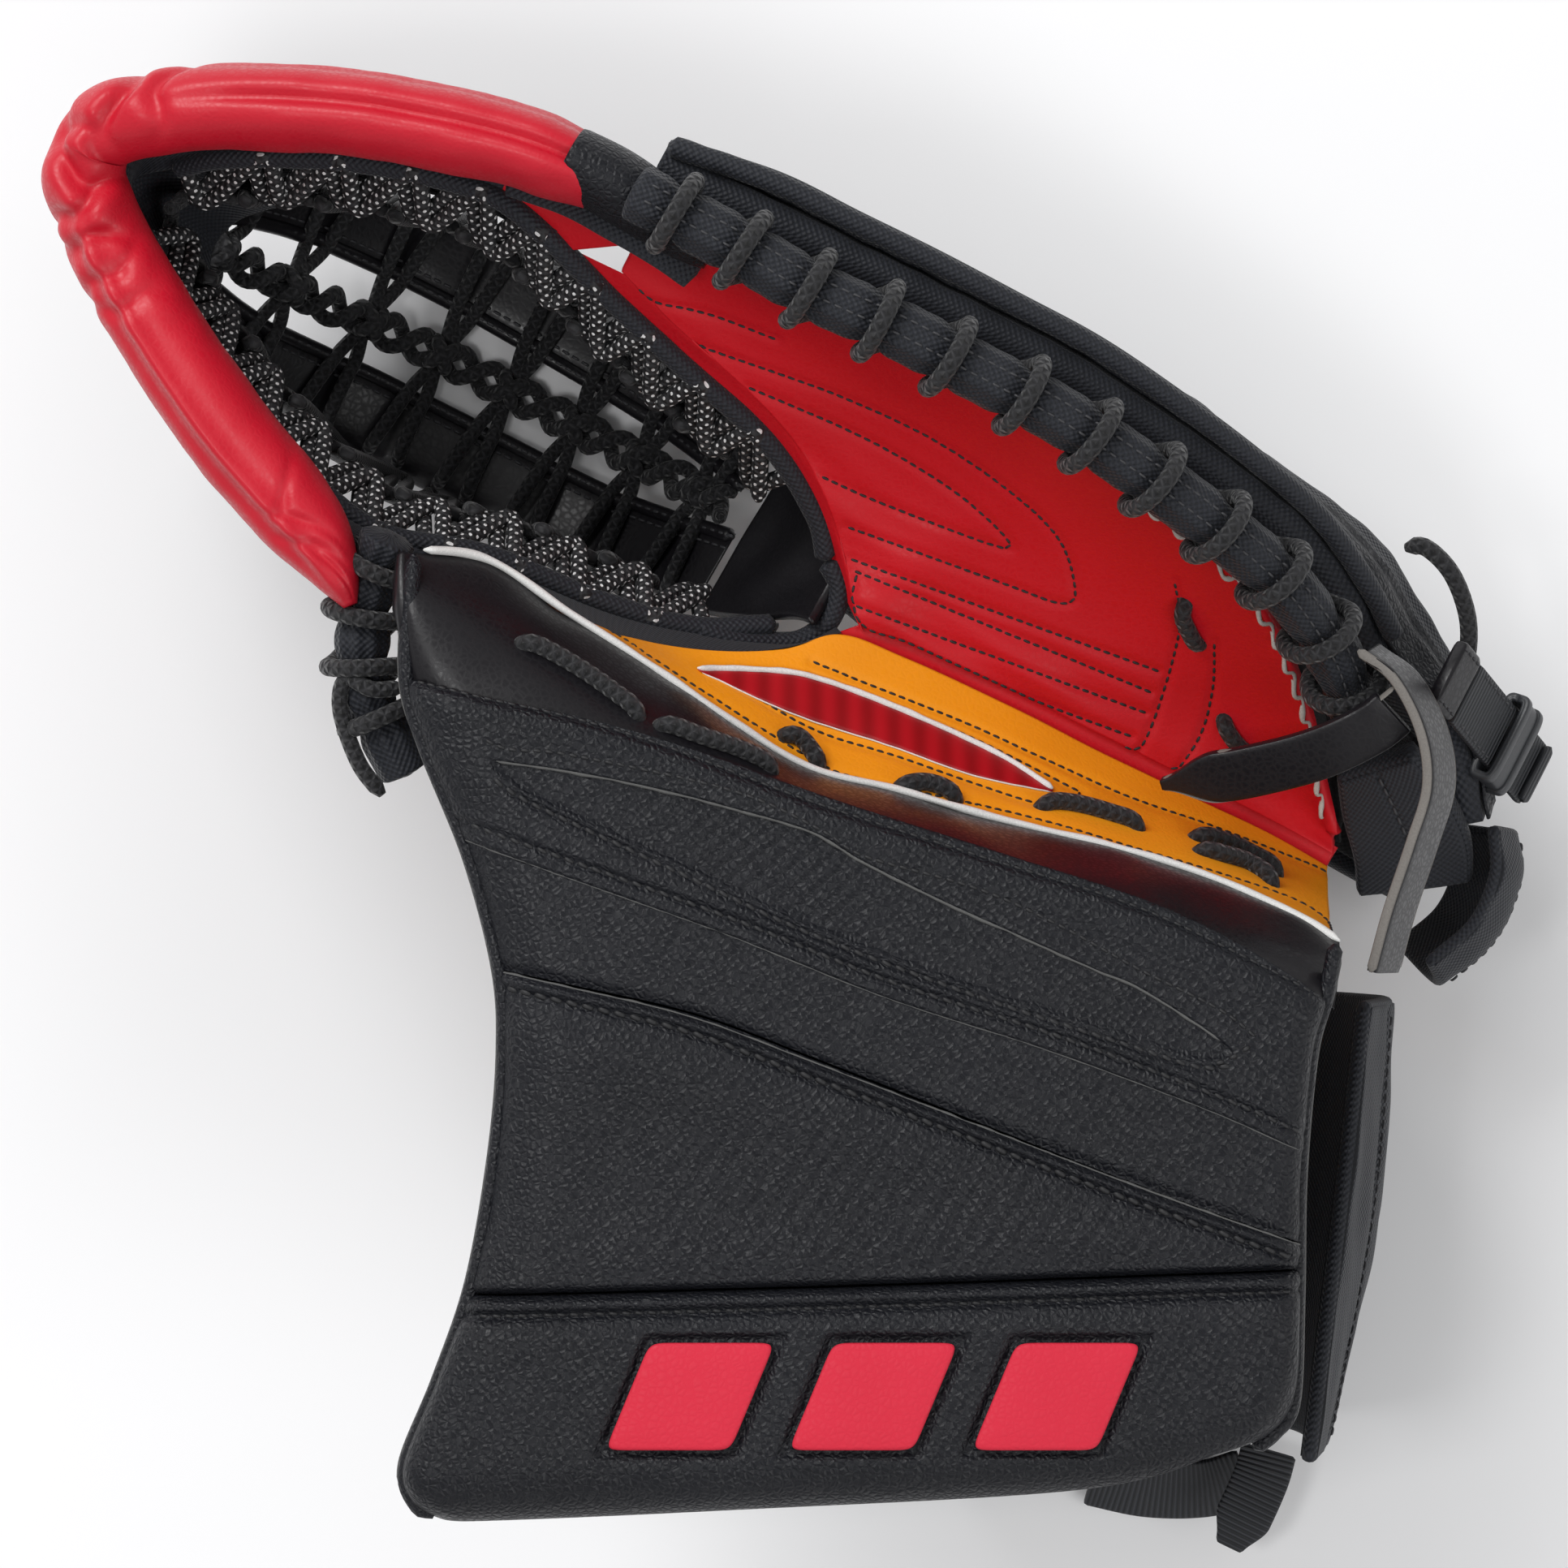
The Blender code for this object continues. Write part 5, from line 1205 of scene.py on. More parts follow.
for side, (mouth, _, sign) in POCKET.items():
    line = smooth(fold(mouth), 260)
    binding = sweep(line, 2.6 + 0.1 * bumps(line, 8, 90), 2.5, 14)
    share = np.linspace(0, 1, 14)[:, None, None]
    fall = np.array([0, 0, -30.0]) - ACROSS * sign * 1.5
    skirt = line[None] + np.array([0, 0, -1.6]) + fall * share + ACROSS * sign * 2.0 * np.sin(np.pi * share)
    skirt = skirt + (bumps(skirt, 14, 91) * 0.5)[..., None] * ACROSS
    under = skirt - normals_of(skirt) * 1.1
    skirt_body = tube(shell(skirt, under, 0.1)[:, ::-1] if sign > 0 else shell(skirt, under, 0.1))
    made = piece(f"pocket_bound_edge_{side}", [binding, skirt_body], black_nylon)
    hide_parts(f"pocket_binding_{side}")
    across_net(made)

mouth_round = [*POCKET["finger"][0][4::-1], (321, -3, 108), (320.5, -9, 107), *POCKET["thumb"][0][:5]]
mouth_line = smooth(fold(mouth_round), 320)
rim_line = smooth(fold([(*row[:2], row[2] - 5) for row in RIM[1:-1]]), 320)
share = np.linspace(0.12, 1, 12)[:, None, None]
web_face = rim_line[None] * (1 - share) + mouth_line[None] * share - np.array([0, 0, 2.5]) * np.sin(np.pi
                                                                                                    * share)
corner_high = smooth(fold([(290, 18, 121), (305, 14, 118), (318, 7.5, 112), (325, -1, 108), (323, -9, 106),
                           (313, -16, 107), (296, -25, 108)]), 160)
corner_low = smooth(fold([(284, 13, 92), (293, 8, 80), (300, 2, 70), (302.5, -4, 66), (302, -9, 66),
                          (298, -14, 72),
                          (286, -20, 88)]), 160)
share = np.linspace(0, 1, 16)[:, None, None]
corner_face = corner_high[None] * (1 - share) + corner_low[None] * share
corner_face = corner_face + (bumps(corner_face, 13, 98) * 0.6)[..., None] * np.array([0, 0, 1.0])
corner_back = corner_face - np.array([0, 0, 1.3])
mouth_web = piece("pocket_mouth_web", [tube(shell(web_face, web_face - np.array([0, 0, 1.1]), 0.1)),
                                       tube(shell(corner_face, corner_back, 0.1))], black_nylon)
across_net(mouth_web)


def web(name, first, second, material, body, sag=2.0, thick=1.2):
    """A thin sheet between two lines of points, sagging by sag in its middle."""
    share = np.linspace(-0.04, 1.12, 16)[:, None, None]
    face_of = first[None] * (1 - share) + second[None] * share
    face_of = face_of - np.array([0, 0, sag]) * np.sin(np.pi * np.clip(share, 0, 1)) - np.array([0, 0, 0.6])
    made = piece(name, [tube(shell(face_of, face_of - np.array([0, 0, thick]), 0.1))], material)
    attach(made, body)


HEEL_ARC = [(10.1, 52.4, 86), (13.0, 46, 85), (10.5, 38.5, 84), (4.5, 33.8, 83.5), (-2.5, 33.0, 84),
            (-11, 33.6, 86.5), (-20.5, 36.6, 89)]
heel_arc = smooth(HEEL_ARC, 90)
heel_binding = piece("pocket_bound_edge_heel", [sweep(heel_arc, 2.7, 2.6, 14)], black_nylon)
across_net(heel_binding)
thumb_mouth = smooth([*fold(POCKET["thumb"][0][3:7]), *HEEL_ARC[4:1:-1]], 200)
web("pocket_foot_web", thumb_mouth, smooth(fold(BAND_LINE[:5]), 200), black_nylon,
    "thumb_side", 1.0)
finger_mouth = smooth(fold(POCKET["finger"][0][4:]), 200)
web("pocket_palm_web", finger_mouth, smooth(fold(PALM_FOOT[:4:-1]), 200), palm_leather,
    "finger_side", 1.5)
web("palm_front_web", smooth(fold([(250, 33.5, 130), (240, 33, 130.5), (226, 30.5, 128)]), 60),
    smooth(fold([(238, 43, 140), (226, 43, 142), (209, 41, 143)]), 60), palm_leather,
    "finger_side", 0.5)
tongue_line = smooth([(-62, 138, 141), (-50, 133.5, 143), (-38, 127.5, 144), (-27, 121, 143),
                      (-19, 116, 140)], 90)
tongue = piece("rim_nylon_tongue",
               [sweep(tongue_line, 5.2 + 0.3 * bumps(tongue_line, 12, 97), 1.1, 20, power=0.5)],
               black_nylon)
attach(tongue, "finger_side")

# ---------------------------------------------------------------- pocket: the two leather straps and the heel
# Two long straps of black leather run down the pocket; the lace divides each into cushioned blocks, and a
# stitched welt edges them on the chain's side. A curved leather patch closes the pocket's heel.

KNOTS = [303, 286, 267, 248, 229, 210, 192, 174]


def at_station(path, stations):
    """Points of a path that runs down the break, at given stations; further columns are carried along."""
    where = station(path)
    order = np.argsort(where)
    return np.stack([np.interp(stations, where[order], path[order, k]) for k in range(path.shape[1])], -1)


def strap_grid(strap, rows=260, columns=28, half=10.0):
    """A strap's upper face: pillowed blocks between the lace's crossings."""
    path = smooth(fold(strap), rows)
    across = np.linspace(-1, 1, columns)[None, :]
    near = np.min(np.abs(station(path)[:, None] - np.array(KNOTS)[None, :]), axis=1)[:, None]
    rise = 2.2 + 1.1 * (1 - across**4) * step(near - 2.2, 4) - 1.1 * across**6
    spread = across * (half - 0.7 * bell(near, 2.5))
    return path[:, None] + ACROSS * spread[..., None] + np.array([0, 0, 1.0]) * rise[..., None]


strap_faces = {}
for side, (_, strap, sign) in POCKET.items():
    top = strap_grid(strap)
    strap_faces[side] = top
    base = top * np.array([1, 1, 0]) + (smooth(fold(strap), len(top))[:, None, 2:]
                                        - 2.2) * np.array([0, 0, 1.0])
    inner = top[:, 1 if sign > 0 else -2] + np.array([0, 0, 0.6])
    welt = sweep(inner, 1.9, 1.7, 12)
    made = piece(f"pocket_block_strap_{side}", [tube(shell(top, base, 0.5)[:, ::-1]), welt], smooth_leather)
    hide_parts(f"pocket_strap_{side}")
    across_net(made)
    rows = piece(f"pocket_strap_stitching_{side}", [
        stitches(inner + np.array([0, 0, 1.9]), 2.8, 2.1, 0.4),
        stitches(inner + ACROSS * sign * 3.2 + np.array([0, 0, 1.0]), 2.8, 2.1, 0.35)], grey_thread)
    across_net(rows)

HEEL_PATCH = [(136, 86, 12), (140, 78, 13), (147, 66, 17), (154, 53, 20), (160, 43, 22)]
patch_rows = smooth([(along, 0, height, half) for along, height, half in HEEL_PATCH], 60)
across = np.linspace(-1, 1, 60)
patch = np.array([fold([(row[0], -1 + row[3] * v, row[2] + 4 * v * v) for v in across])
                  for row in patch_rows])
patch_ways = normals_of(patch)
patch = patch + patch_ways * (0.5 * bumps(patch, 20, 95))[..., None]
heel_patch = piece("pocket_heel_leather", [tube(shell(patch, patch - patch_ways * 2.3, 0.4)[:, ::-1])],
                   smooth_leather)
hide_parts("pocket_heel_patch")
across_net(heel_patch)

# ---------------------------------------------------------------- pocket: chain, cross laces and net
# A chain of two twisted laces knotted eight times runs down the middle; pairs of laces go from each knot over
# the straps, and black lace with woven white dots zigzags between the straps and the pocket's mouth.

CHAIN = [(308, -7, 58), (286, -5, 34), (265, -2, 14), (245, 0, 6), (223, 1, 5), (199, 1.5, 11), (178, 2, 24),
         (167, 2, 36)]


def make_dotted_lace():
    """A braided lace with a white dot at every other crossing of a 1.45 mm grid of its layout."""
    made, tree, shader = finish_material("dotted_lace", (0.010, 0.010, 0.012), 0.7)
    node = surface_node(tree, braid, "UV")
    where = tree.nodes.new("ShaderNodeTexCoord")
    split = tree.nodes.new("ShaderNodeSeparateXYZ")
    tree.links.new(where.outputs["UV"], split.inputs[0])
    waves = [math_node(tree, "SINE", math_node(tree, "MULTIPLY", split.outputs[k], FULL_TURN / 2.9))
             for k in (0, 1)]
    dots = math_node(tree, "GREATER_THAN", math_node(tree, "MULTIPLY", waves[0], waves[1]), 0.6)
    # Painted shade and highlight: the braid is coloured darker in its gaps and lighter on its strands; the
    # white dots are the lace's own.
    shade = mix_colour(tree, node.outputs["Height"], (0.003, 0.003, 0.004), (0.014, 0.014, 0.016))
    tree.links.new(mix_colour(tree, dots, shade, (0.62, 0.62, 0.62)), shader.inputs["Base Color"])
    bump(tree, shader, node.outputs["Height"], 0.9, 0.0005)
    return made


dotted_lace = make_dotted_lace()
chain_path = smooth(fold(CHAIN), 400)
chain_at = station(chain_path)
_, chain_side, chain_rise = frames(chain_path, (0, 0, 1))
chain_parts = []
run_at = np.concatenate([[0.0], np.cumsum(np.linalg.norm(np.diff(chain_path, axis=0), axis=1))])
for phase in (0.0, np.pi):
    turn = run_at * 2 * np.pi / 19.0 + phase
    near = np.min(np.abs(chain_at[:, None] - np.array(KNOTS)[None, :]), axis=1)
    wide = 2.1 + 1.3 * step(near - 3.5, 4)
    strand = chain_path + chain_side * (np.cos(turn) * wide)[:, None] + chain_rise * (np.sin(turn)
                                                                                      * 2.1)[:, None]
    chain_parts.append(lace_run(strand[::3], 1.9))
for at_knot in KNOTS:
    middle = at_station(np.hstack([chain_path, chain_side, chain_rise]), at_knot)
    centre, sideways, up = middle[:3], middle[3:6], middle[6:]
    ahead = np.cross(up, sideways)
    for tilt, reach in ((0.7, 4.1), (-0.7, 4.3)):
        loop = []
        for t in np.linspace(0, 2 * np.pi, 14):
            across_by = np.cos(t) * (sideways * np.cos(tilt) + ahead * np.sin(tilt))
            loop.append(centre + reach * (across_by + np.sin(t) * up * 0.95))
        chain_parts.append(lace_run(loop, 1.75))
chain = piece("pocket_knotted_chain", chain_parts, black_lace)
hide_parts("pocket_chain_lace")
across_net(chain)

for side, (mouth, strap, sign) in POCKET.items():
    mouth_line, strap_line = smooth(fold(mouth), 300), smooth(fold(strap), 300)
    cross_laces, net = [], []
    for at_knot in KNOTS:
        start = at_station(chain_path, at_knot)
        for spread in (-1, 1):
            points = [start + ACROSS * sign * 2.0]
            for reach, lift, along_by in ((-11.5, 3.2, 2.0), (-5, 5.2, 2.6), (4, 5.2, 3.4), (11.2, 3.2, 4.6)):
                at_here = np.clip(at_knot + spread * along_by, 163, 310)
                points.append(at_station(strap_line, at_here) + ACROSS * sign * reach
                              + np.array([0, 0, lift]))
            top_at = np.clip(at_knot + spread * 8.0, 160, 311)
            top = at_station(mouth_line, top_at) + np.array([0, 0, -14.0]) - ACROSS * sign * 8.5
            points.append((points[-1] + top) / 2 + ACROSS * sign * 1.5)
            points.append(top)
            cross_laces.append(lace_run(points, 1.75))
    for lace_number, (offset, lean) in enumerate(((0, 0.0), (4.0, 1.4))):
        dots, plain = [], []
        for n, s_at in enumerate(np.arange(312 - offset, 152, -8.0)):
            high, low = at_station(mouth_line, s_at), at_station(strap_line, max(s_at, 166))
            low = low + ACROSS * sign * 10.5 + np.array([0, 0, 4.0])
            high = high + np.array([0, 0, 1.0 - lean])
            middle = high - ACROSS * sign * (10.5 - lean) + np.array([0, 0, -13.0 - lean])
            dots.append(high if n % 2 == lace_number % 2 else middle)
            plain.append(middle if n % 2 == lace_number % 2 else low)
        net.append(lace_run(dots, 2.0))
        cross_laces.append(lace_run(plain[:-2], 1.7))
    crossings = piece(f"pocket_cross_laces_{side}", cross_laces, black_lace)
    across_net(crossings)
    dotted = piece(f"pocket_dotted_net_{side}", net, dotted_lace)
    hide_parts(f"pocket_lacing_{side}")
    across_net(dotted)

# ---------------------------------------------------------------- thumb tip: wrapped roll, lace and loop
# The same nylon roll and braided lace close the thumb's tip; inside the cuff an elastic loop holds the
# thumb.

THUMB_TIP = [(-89.5, 57, 128), (-93.5, 48, 125), (-96, 37, 123), (-95.5, 22.9, 122), (-91, 12, 121),
             (-86, 2, 119)]
tip_path = smooth(THUMB_TIP, 160)
tip_at = np.concatenate([[0.0], np.cumsum(np.linalg.norm(np.diff(tip_path, axis=0), axis=1))])
TIP_WRAPS = [8, 20, 32, 44]
tip_roll = piece("thumb_tip_wrapped_roll", [tube(wrapped_roll(tip_path, tip_at, 6.0, TIP_WRAPS))],
                 black_nylon)
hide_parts("thumb_edge_roll")
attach(tip_roll, "thumb_side")
loose_end = lace_run([(-86.5, 22, 128), (-93.5, 21.5, 130), (-99.5, 24, 128), (-101, 17, 127), (-97, 5, 126),
                      (-91.5, -2.5, 125)], 1.9)
tip_lace = piece("thumb_tip_winding_lace",
                 [wound_lace(tip_path, tip_at, TIP_WRAPS, 8.2, slant=2.4), loose_end],
                 black_lace)
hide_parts("thumb_tip_lacing")
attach(tip_lace, "thumb_side")


def elastic_loop(centre, axis, up, bore, width):
    """An elastic loop round an axis, its two ends sewn together underneath."""
    axis, up = unit(np.asarray(axis, float)), np.asarray(up, float)
    up = unit(up - axis * (up @ axis))
    side = np.cross(axis, up)
    t = np.linspace(-np.pi / 2, 1.5 * np.pi, 90)[:, None]
    ring = np.asarray(centre) + (bore / 2 + 0.8) * (side * np.cos(t) + up * np.sin(t) * 0.95)
    band = sweep(ring, 0.8 + 0.12 * np.cos(9 * t[:, 0]), width / 2, 28, up=axis, power=0.4, ends=0.98)
    rows = [stitches(ring + axis * width * 0.36 * k + unit(ring - centre) * 0.8, 2.6, 1.8, 0.3,
                     up=unit(ring - centre)) for k in (-1, 1)]
    return [band, (rows[0], 1), (rows[1], 1)]


thumb_loop = piece("thumb_elastic_loop", elastic_loop((-22, -20, 98.7), (-0.8, 0.6, 0), (0, 0, 1), 23, 18),
                   [black_nylon, grey_thread])
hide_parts("thumb_band")
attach(thumb_loop, "thumb_side")

# ---------------------------------------------------------------- palm: foam sheet and finger loops
# A thin foam sheet backs the palm's leather, and four elastic loops behind it hold the fingers. The little
# finger's loop is the smallest.

backing = palm_grid(60, 160, 3.9)
foam = nylon("black_foam_cloth", (0.007, 0.007, 0.008), (0.016, 0.016, 0.018), 0.0003)
ways = normals_of(backing)
backing = backing - ways * (0.25 * bumps(backing, 15, 101))[..., None]
foam_sheet = piece("palm_foam_backing", [tube(shell(backing, backing - ways * 3.9, 0.5)[:, ::-1])], foam)
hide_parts("palm_foam")
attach(foam_sheet, "finger_side")

flat_palm = palm_grid(18, 18)
palm_ways = normals_of(flat_palm)
palm_shares = np.linspace(0.005, 0.995, 18)
for name, share, bore in (("index", 0.06, 17), ("middle", 0.30, 17), ("ring", 0.54, 17),
                          ("little", 0.76, 14)):
    low, high = (np.array(c) * 1000 - PATTERN_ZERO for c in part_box(f"finger_band_{name}"))
    middle = (low + high) / 2
    row = np.argmin(np.abs(palm_shares - share))
    way = flat_palm[row, 10] - flat_palm[row, 8]
    loop = piece(f"finger_elastic_loop_{name}", elastic_loop(middle, way, palm_ways[row, 9], bore, 12),
                 [black_nylon, grey_thread])
    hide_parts(f"finger_band_{name}")
    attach(loop, "finger_side")

# ---------------------------------------------------------------- wrist side: leather straps
# A wide leather loop stands over the wrist's opening and a tapered tail lies across the palm; both are cut
# from one 3 mm hide, black on its face with raw pale edges.


def leather_strip(path, wide, half_width, half_thickness, seed):
    """A strap and its two raw edges: wide is the direction of its width."""
    wide = unit(np.asarray(wide, float))
    wave = 0.35 * bumps(path, 22, seed)[:, None] * wide
    body = sweep(path + wave, half_thickness, half_width, 36, up=wide, power=0.3, ends=0.97)
    trims = [sweep(path + wave + wide * (half_width + 0.02)[:, None] * k, half_thickness * 0.82, 0.3, 8,
                   up=wide)
             for k in (-1, 1)]
    return [body, (trims[0], 1), (trims[1], 1)]


LOOP_PATH = [(134.5, 30.5, 116), (142.5, 24, 117), (148.5, 12, 118), (150, 0, 118), (146.5, -13, 118),
             (141.5, -28, 117), (137.5, -43, 115)]
TAIL_PATH = [(139.5, 16.5, 119), (134.5, 12.5, 117), (126, 8.2, 114), (116, 5, 110), (106, 2.8, 106),
             (96, 1.2, 102), (88, 0.3, 98)]
raw_hide = thread_material("raw_hide_edge", (0.20, 0.185, 0.17), 0.85)
line = smooth(LOOP_PATH, 140)
strap_loop = piece("wrist_leather_loop", leather_strip(line, (-0.42, 0, 0.9), np.full(140, 8.4), 1.45, 111),
                   [smooth_leather, raw_hide])
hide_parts("leather_strap_loop")
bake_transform(strap_loop)
line = smooth(TAIL_PATH, 130)
share = np.linspace(0, 1, 130)
tail = piece("strap_leather_tail",
             leather_strip(line, (0, 0.88, 0.48), 6.4 * (1 - 0.80 * step(share - 0.88, 0.26)),
                                                 1.45, 112), [smooth_leather, raw_hide])
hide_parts("strap_tail")
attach(tail, "strap_tail")

# ---------------------------------------------------------------- wrist side: webbing, buckle and anchor
# Ribbed nylon webbing runs down the wrist from a leather anchor, through a moulded grey-black plastic
# keeper that slides on it.


def make_webbing():
    """Webbing: ribs 1.3 mm apart across its run, painted lighter on their crests and darker between them: a
    painted highlight and painted shade.
    """
    made, tree, shader = finish_material("ribbed_webbing", (0.008, 0.009, 0.012), 0.55)
    where = tree.nodes.new("ShaderNodeTexCoord")
    split = tree.nodes.new("ShaderNodeSeparateXYZ")
    tree.links.new(where.outputs["UV"], split.inputs[0])
    rib = math_node(tree, "SINE", math_node(tree, "MULTIPLY", split.outputs[0], FULL_TURN / 1.3))
    height = math_node(tree, "MULTIPLY_ADD", rib, 0.5, 0.5)
    # Painted highlight on each rib's crest and painted shade between the ribs.
    tree.links.new(mix_colour(tree, height, (0.005, 0.006, 0.008), (0.028, 0.030, 0.036)),
                   shader.inputs["Base Color"])
    bump(tree, shader, height, 0.8, 0.0005)
    return made


def moulded_plastic(name, colour):
    """Moulded plastic with a fine spark-eroded texture."""
    made, tree, shader = finish_material(name, colour, 0.38)
    where = tree.nodes.new("ShaderNodeTexCoord")
    speck = texture(tree, "Noise", where.outputs["Object"], 1800, "Fac", Detail=2.0)
    tree.links.new(ramp(tree, speck, 0.30, 0.48), shader.inputs["Roughness"])
    bump(tree, shader, speck, 0.25, 0.0001)
    return made


webbing, plastic = make_webbing(), moulded_plastic("grey_plastic", (0.030, 0.032, 0.036))
strap_start, strap_end = fold([(-5, 48, 96)])[0], fold([(-31.5, 41.5, 61)])[0]
strap_way = unit(strap_end - strap_start)
strap_wide = ACROSS * 0.8 - ALONG * 0.25 - np.array([0, 0, 0.55])
strap_wide = unit(strap_wide - strap_way * (strap_wide @ strap_way))
strap_out = np.cross(strap_wide, strap_way)
run_of = strap_start + (strap_end - strap_start) * np.linspace(0, 1, 60)[:, None]
folded = run_of[-5:] + strap_out * np.sign(strap_out[2]) * 1.9
strap_rows = [stitches(run_of[4:30] + strap_wide * 6.6 * k + strap_out * j * 1.0, 2.4, 1.8, 0.3,
                       up=strap_out * j)
              for k in (-1, 1) for j in (-1, 1)]
wrist_webbing = piece("wrist_webbing_strap",
                      [sweep(run_of, 1.0, 7.9, 30, up=strap_wide, power=0.3, ends=0.98),
                                    sweep(folded, 0.9, 7.7, 30, up=strap_wide, power=0.3, ends=0.9)]
            + [(row, 1) for row in strap_rows], [webbing, grey_thread])
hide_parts("wrist_strap")
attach(wrist_webbing, "wrist_strap")


def keeper(centre):
    """A rectangular keeper: a closed loop of rounded bars round the webbing, with a rib on each face."""
    parts = []
    t = np.linspace(0, 2 * np.pi, 73)
    cosine, sine = (np.sign(f(t)) * np.abs(f(t)) ** 0.35 for f in (np.cos, np.sin))
    for shift, half in ((0.0, 4.9), (-3.6, 1.3), (3.6, 1.3)):
        grow = 0.0 if half > 2 else 0.55
        ring = (centre + strap_way * shift + strap_wide * (10.1 + grow) * cosine[:, None]
                + strap_out * (2.4 + grow) * sine[:, None])
        parts.append(sweep(ring, 0.85, half, 20, up=strap_way, power=0.5, ends=0.99))
    return parts


buckle = piece("wrist_strap_keeper", keeper(strap_start + (strap_end - strap_start) * 0.62), plastic)
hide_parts("wrist_buckle")
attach(buckle, "wrist_buckle")
anchor_run = strap_start - strap_way * np.linspace(2.2, 11.5, 20)[:, None]
anchor_rows = [stitches(anchor_run + strap_wide * 6.8 * k + strap_out * j * 1.7, 2.3, 1.7, 0.35,
                        up=strap_out * j)
               for k in (-1, 1) for j in (-1, 1)]
anchor = piece("strap_anchor_patch", [sweep(anchor_run, 1.7, 8.5, 30, up=strap_wide, power=0.35, ends=0.95)]
               + [(row, 1) for row in anchor_rows], [smooth_leather, grey_thread])
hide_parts("strap_anchor")
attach(anchor, "finger_side")

# ---------------------------------------------------------------- wrist side: heel pad, flap and lace
# Nylon-covered foam guards the heel of the hand, a stiffer flap closes the wrist behind it, and a loop of
# lace ties the backhand's corner.


def patch_of(lines, rows, columns):
    """A grid through lines of points: smooth along each line, then from line to line."""
    across = np.stack([smooth(line, columns) for line in lines])
    return np.stack([smooth(across[:, k], rows) for k in range(columns)], axis=1)


def bound_patch(name, outer, thickness, facing, material, node, body, cord=1.6, seed=120, quilted=()):
    """A padded panel: its outer face, an inner face that far behind, a bound edge all round and quilting."""
    ways = normals_of(outer, facing)
    rows, columns = outer.shape[:2]
    v = np.linspace(0, 1, rows)[:, None]
    swell = np.sin(np.pi * v) * np.sin(np.pi * np.linspace(0, 1, columns)[None, :])
    sink = sum((bell(v - at, 0.02) for at in quilted), np.zeros_like(v))
    face_of = outer + ways * (0.9 * np.sqrt(swell) + 0.4 * bumps(outer, 16, seed) - 1.0 * sink - 0.5)[...,
                                                                                                      None]
    back = outer - ways * (thickness - 0.4)
    edge = np.concatenate([outer[0], outer[1:, -1], outer[-1, -2::-1], outer[-2:0:-1, 0]])
    edge_way = np.concatenate([ways[0], ways[1:, -1], ways[-1, -2::-1], ways[-2:0:-1, 0]])
    middle = edge - edge_way * thickness / 2
    trim = sweep(np.vstack([middle, middle[:2]]), cord, thickness * 0.36, 12, up=edge_way.mean(axis=0),
                 ends=0.9)
    stitched = [(stitches(outer[int(at * (rows - 1)), 2:-2] + ways[int(at * (rows - 1)), 2:-2] * 0.1, 3.0,
                          2.2, 0.35,
                          up=ways[int(at * (rows - 1)), 2:-2]), 1) for at in quilted]
    body_of = tube(shell(face_of, back, 0.3))
    if facing_in(body_of, face_of):
        body_of = tube(shell(face_of, back, 0.3)[:, ::-1])
    made = piece(name, [body_of, trim] + stitched, [material, grey_thread])
    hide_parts(node)
    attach(made, body)


def facing_in(body, face_grid):
    """True if a closed body's faces point inwards: its signed volume, summed over its quads, is negative."""
    p = body[0][body[1]] - face_grid.mean(axis=(0, 1))
    six = np.einsum("ij,ij->i", p[:, 0], np.cross(p[:, 1], p[:, 2]) + np.cross(p[:, 2], p[:, 3]))
    return six.sum() < 0


heel = patch_of([fold([(-31, 11, 66), (-25, 18, 74), (-15, 24, 82), (-3, 28, 90)]),
                 fold([(-11, -4, 60), (-6, 2, 66), (2, 9, 74), (8, 15.5, 82)])], 30, 60)
bound_patch("heel_padding", heel, 8.0, (0, 0, 1), black_nylon, "heel_pad", "finger_side", 1.3, 121, (0.5,))
spine = fold([(-36.5, 28, 60), (-42.5, 18, 58), (-44.5, 3, 54), (-40, -12, 50)])
wrist_middle = fold([(10, 10, 60)])[0]
inwards = unit((wrist_middle - spine) * np.array([1, 1, 0]))
flap = patch_of([spine + inwards * reach + np.array([0, 0, rise]) for reach, rise in
                 ((10, -32), (1.5, -14), (0, 0), (6, 13))], 50, 60)
bound_patch("heel_bound_flap", flap, 4.0, -ALONG, black_nylon, "heel_flap", "finger_side", 1.3, 122,
            (0.33, 0.66))

LACE_LOOP = [(146, 55.5, 82), (150.5, 55.5, 84), (156.5, 49.5, 84), (160.5, 40, 81), (161, 31, 78),
             (158.5, 23.5, 76)]
corner_loop = piece("backhand_corner_lace", [lace_run(LACE_LOOP, 2.1)], black_lace)
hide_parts("backhand_lace_loop")
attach(corner_loop, "finger_side")

# ---------------------------------------------------------------- cuff: board, lining and back
# Behind the panel's foam a plastic board stiffens the cuff and a quilted lining faces the wrist; a side wall,
# a back pad and a wrist flap of bound nylon close it, with a webbing loop and a pull tab at the bottom.


def under_panel(node, name, material, inset, swell):
    """A flat layer under the panel between the heights of its CAD node, its underside quilted by swell."""
    low, high = (np.array(c)[2] * 1000 - PATTERN_ZERO[2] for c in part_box(node))
    v, t = ease(90, 0.8)[:, None], ease(120, 0.8)[None, :]
    rough_x = -60 + 175 * t
    y0, y1 = seams["hem"](rough_x)[0] + inset + 2.5, seams["fold"](rough_x)[0] - inset
    y = y0 * (1 - v) + y1 * v
    left, right = edge_x(0, y) + inset, edge_x(1, y) - inset
    x = left + (right - left) * t
    diamond = np.minimum(np.abs(((x + y) / 22) % 1 - 0.5), np.abs(((x - y) / 22) % 1 - 0.5)) * 22
    lip = 1.2 * bell(np.minimum(x - left, right - x), 1.5)
    top = np.stack([x, y, high - 0.15 - 0 * x], -1)
    bottom = np.stack([x, y, low + swell * bell(diamond, 1.3) + lip + 0.2], -1)
    made = piece(name, [tube(shell(top, bottom, 0.3))], material)
    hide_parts(node)
    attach(made, "thumb_side")
    return made


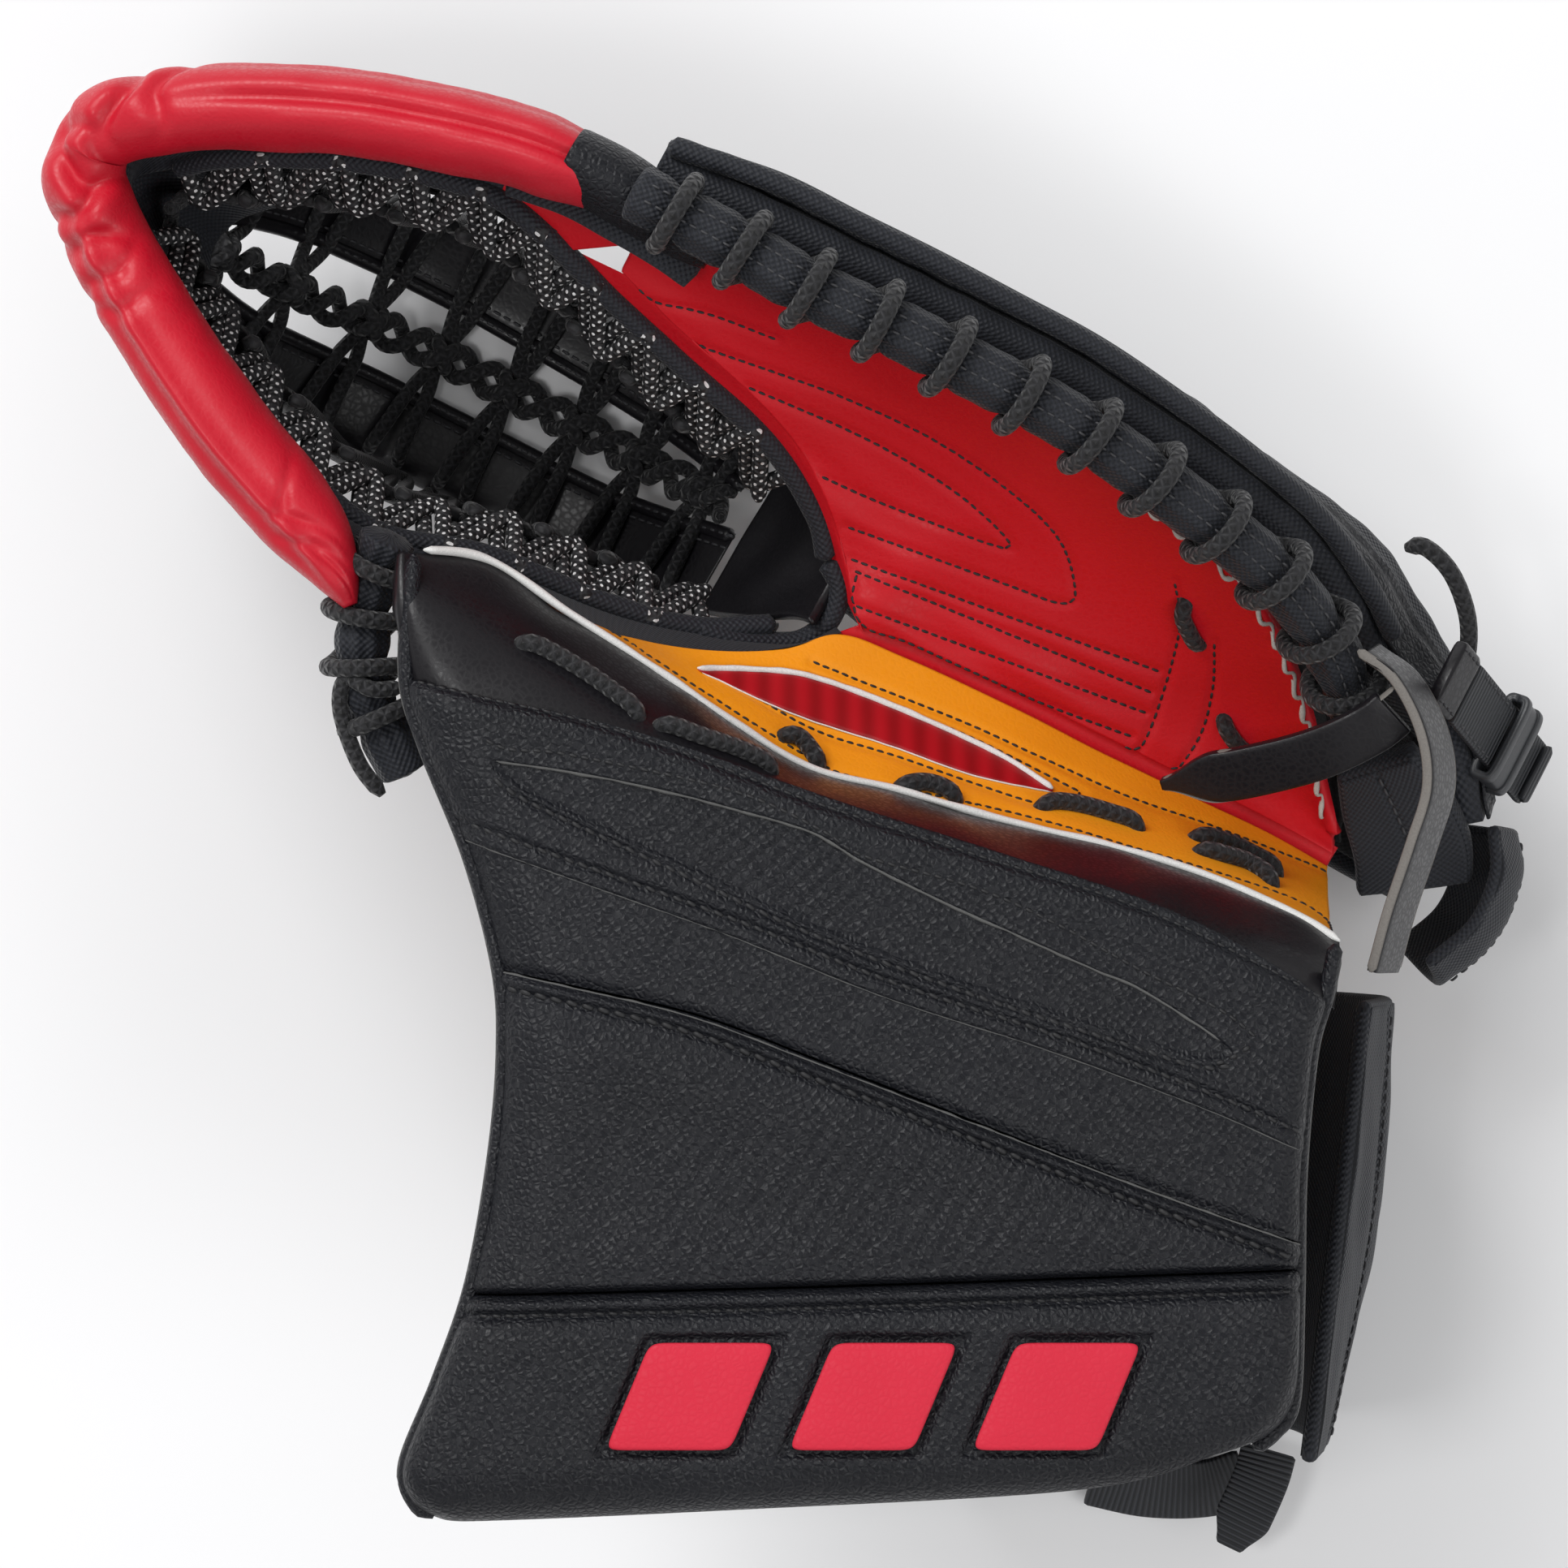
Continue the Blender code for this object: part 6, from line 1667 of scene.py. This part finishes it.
board_plastic = moulded_plastic("black_plastic", (0.012, 0.012, 0.013))
board = under_panel("cuff_board", "cuff_stiff_board", board_plastic, 2.5, 0.0)
lining_pad = under_panel("cuff_lining_pad", "cuff_quilted_lining", soft_lining, 3.0, 1.6)

BACK_PAD = [[(32, -162, 4), (32, -100, 4), (46, -52, 4)], [(56, -162, 0), (58, -100, 0), (68, -52, 0)],
            [(92, -162, 0), (96, -100, 0), (100, -52, 0)], [(114, -162, 4), (120, -100, 4), (122, -52, 4)]]
SIDE_WALL = [[(31, -158, 111.6), (32, -100, 111.6), (44, -52, 111.2)],
             [(20, -158, 84), (20, -100, 84), (34, -52, 84)],
             [(19, -158, 44), (19, -100, 44), (33, -52, 44)], [(27, -158, 12), (27, -100, 12), (41, -52, 12)]]
WRIST_FLAP = [[(122, -156, 12), (128, -100, 12), (130, -52, 14)],
              [(128, -156, 40), (139, -100, 40), (141, -52, 42)],
              [(129, -156, 72), (141, -100, 70), (145, -52, 68)],
              [(124, -156, 104), (131, -100, 104), (137, -52, 100)]]
for name, lines, thickness, facing, node, quilted in (
        ("cuff_back_padding", BACK_PAD, 10.0, (0, 0, -1), "cuff_back_pad", (0.33, 0.66)),
        ("cuff_side_wall", SIDE_WALL, 3.0, (-1, 0, 0), "cuff_side_gusset", (0.2, 0.5, 0.8)),
        ("wrist_bound_flap", WRIST_FLAP, 5.0, (1, 0, 0), "wrist_flap", (0.25, 0.75))):
    bound_patch(name, patch_of(lines, 70, 90), thickness, facing, black_nylon, node, "thumb_side", 1.5, 130,
                quilted)

line = smooth([(76, -171, 7), (90, -174, 6), (104, -174, 6), (114, -171, 7)], 80)
cuff_loop = piece("cuff_webbing_loop", [sweep(line, 1.1, 8.4, 30, up=(0, 0.86, 0.5), power=0.3, ends=0.95)],
                  webbing)
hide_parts("cuff_back_strap")
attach(cuff_loop, "thumb_side")
line = smooth([(119, -163.5, 16), (117, -170, 17.5), (113, -179, 18), (109, -187, 17)], 80)
tab_width = 6.9 * (1 - 0.5 * step(np.linspace(0, 1, 80) - 0.85, 0.35))
pull = piece("cuff_pull_loop", [sweep(line, 1.3, tab_width, 30, up=(1, 0.1, 0), power=0.3, ends=0.9)],
             webbing)
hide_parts("cuff_pull_tab")
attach(pull, "thumb_side")
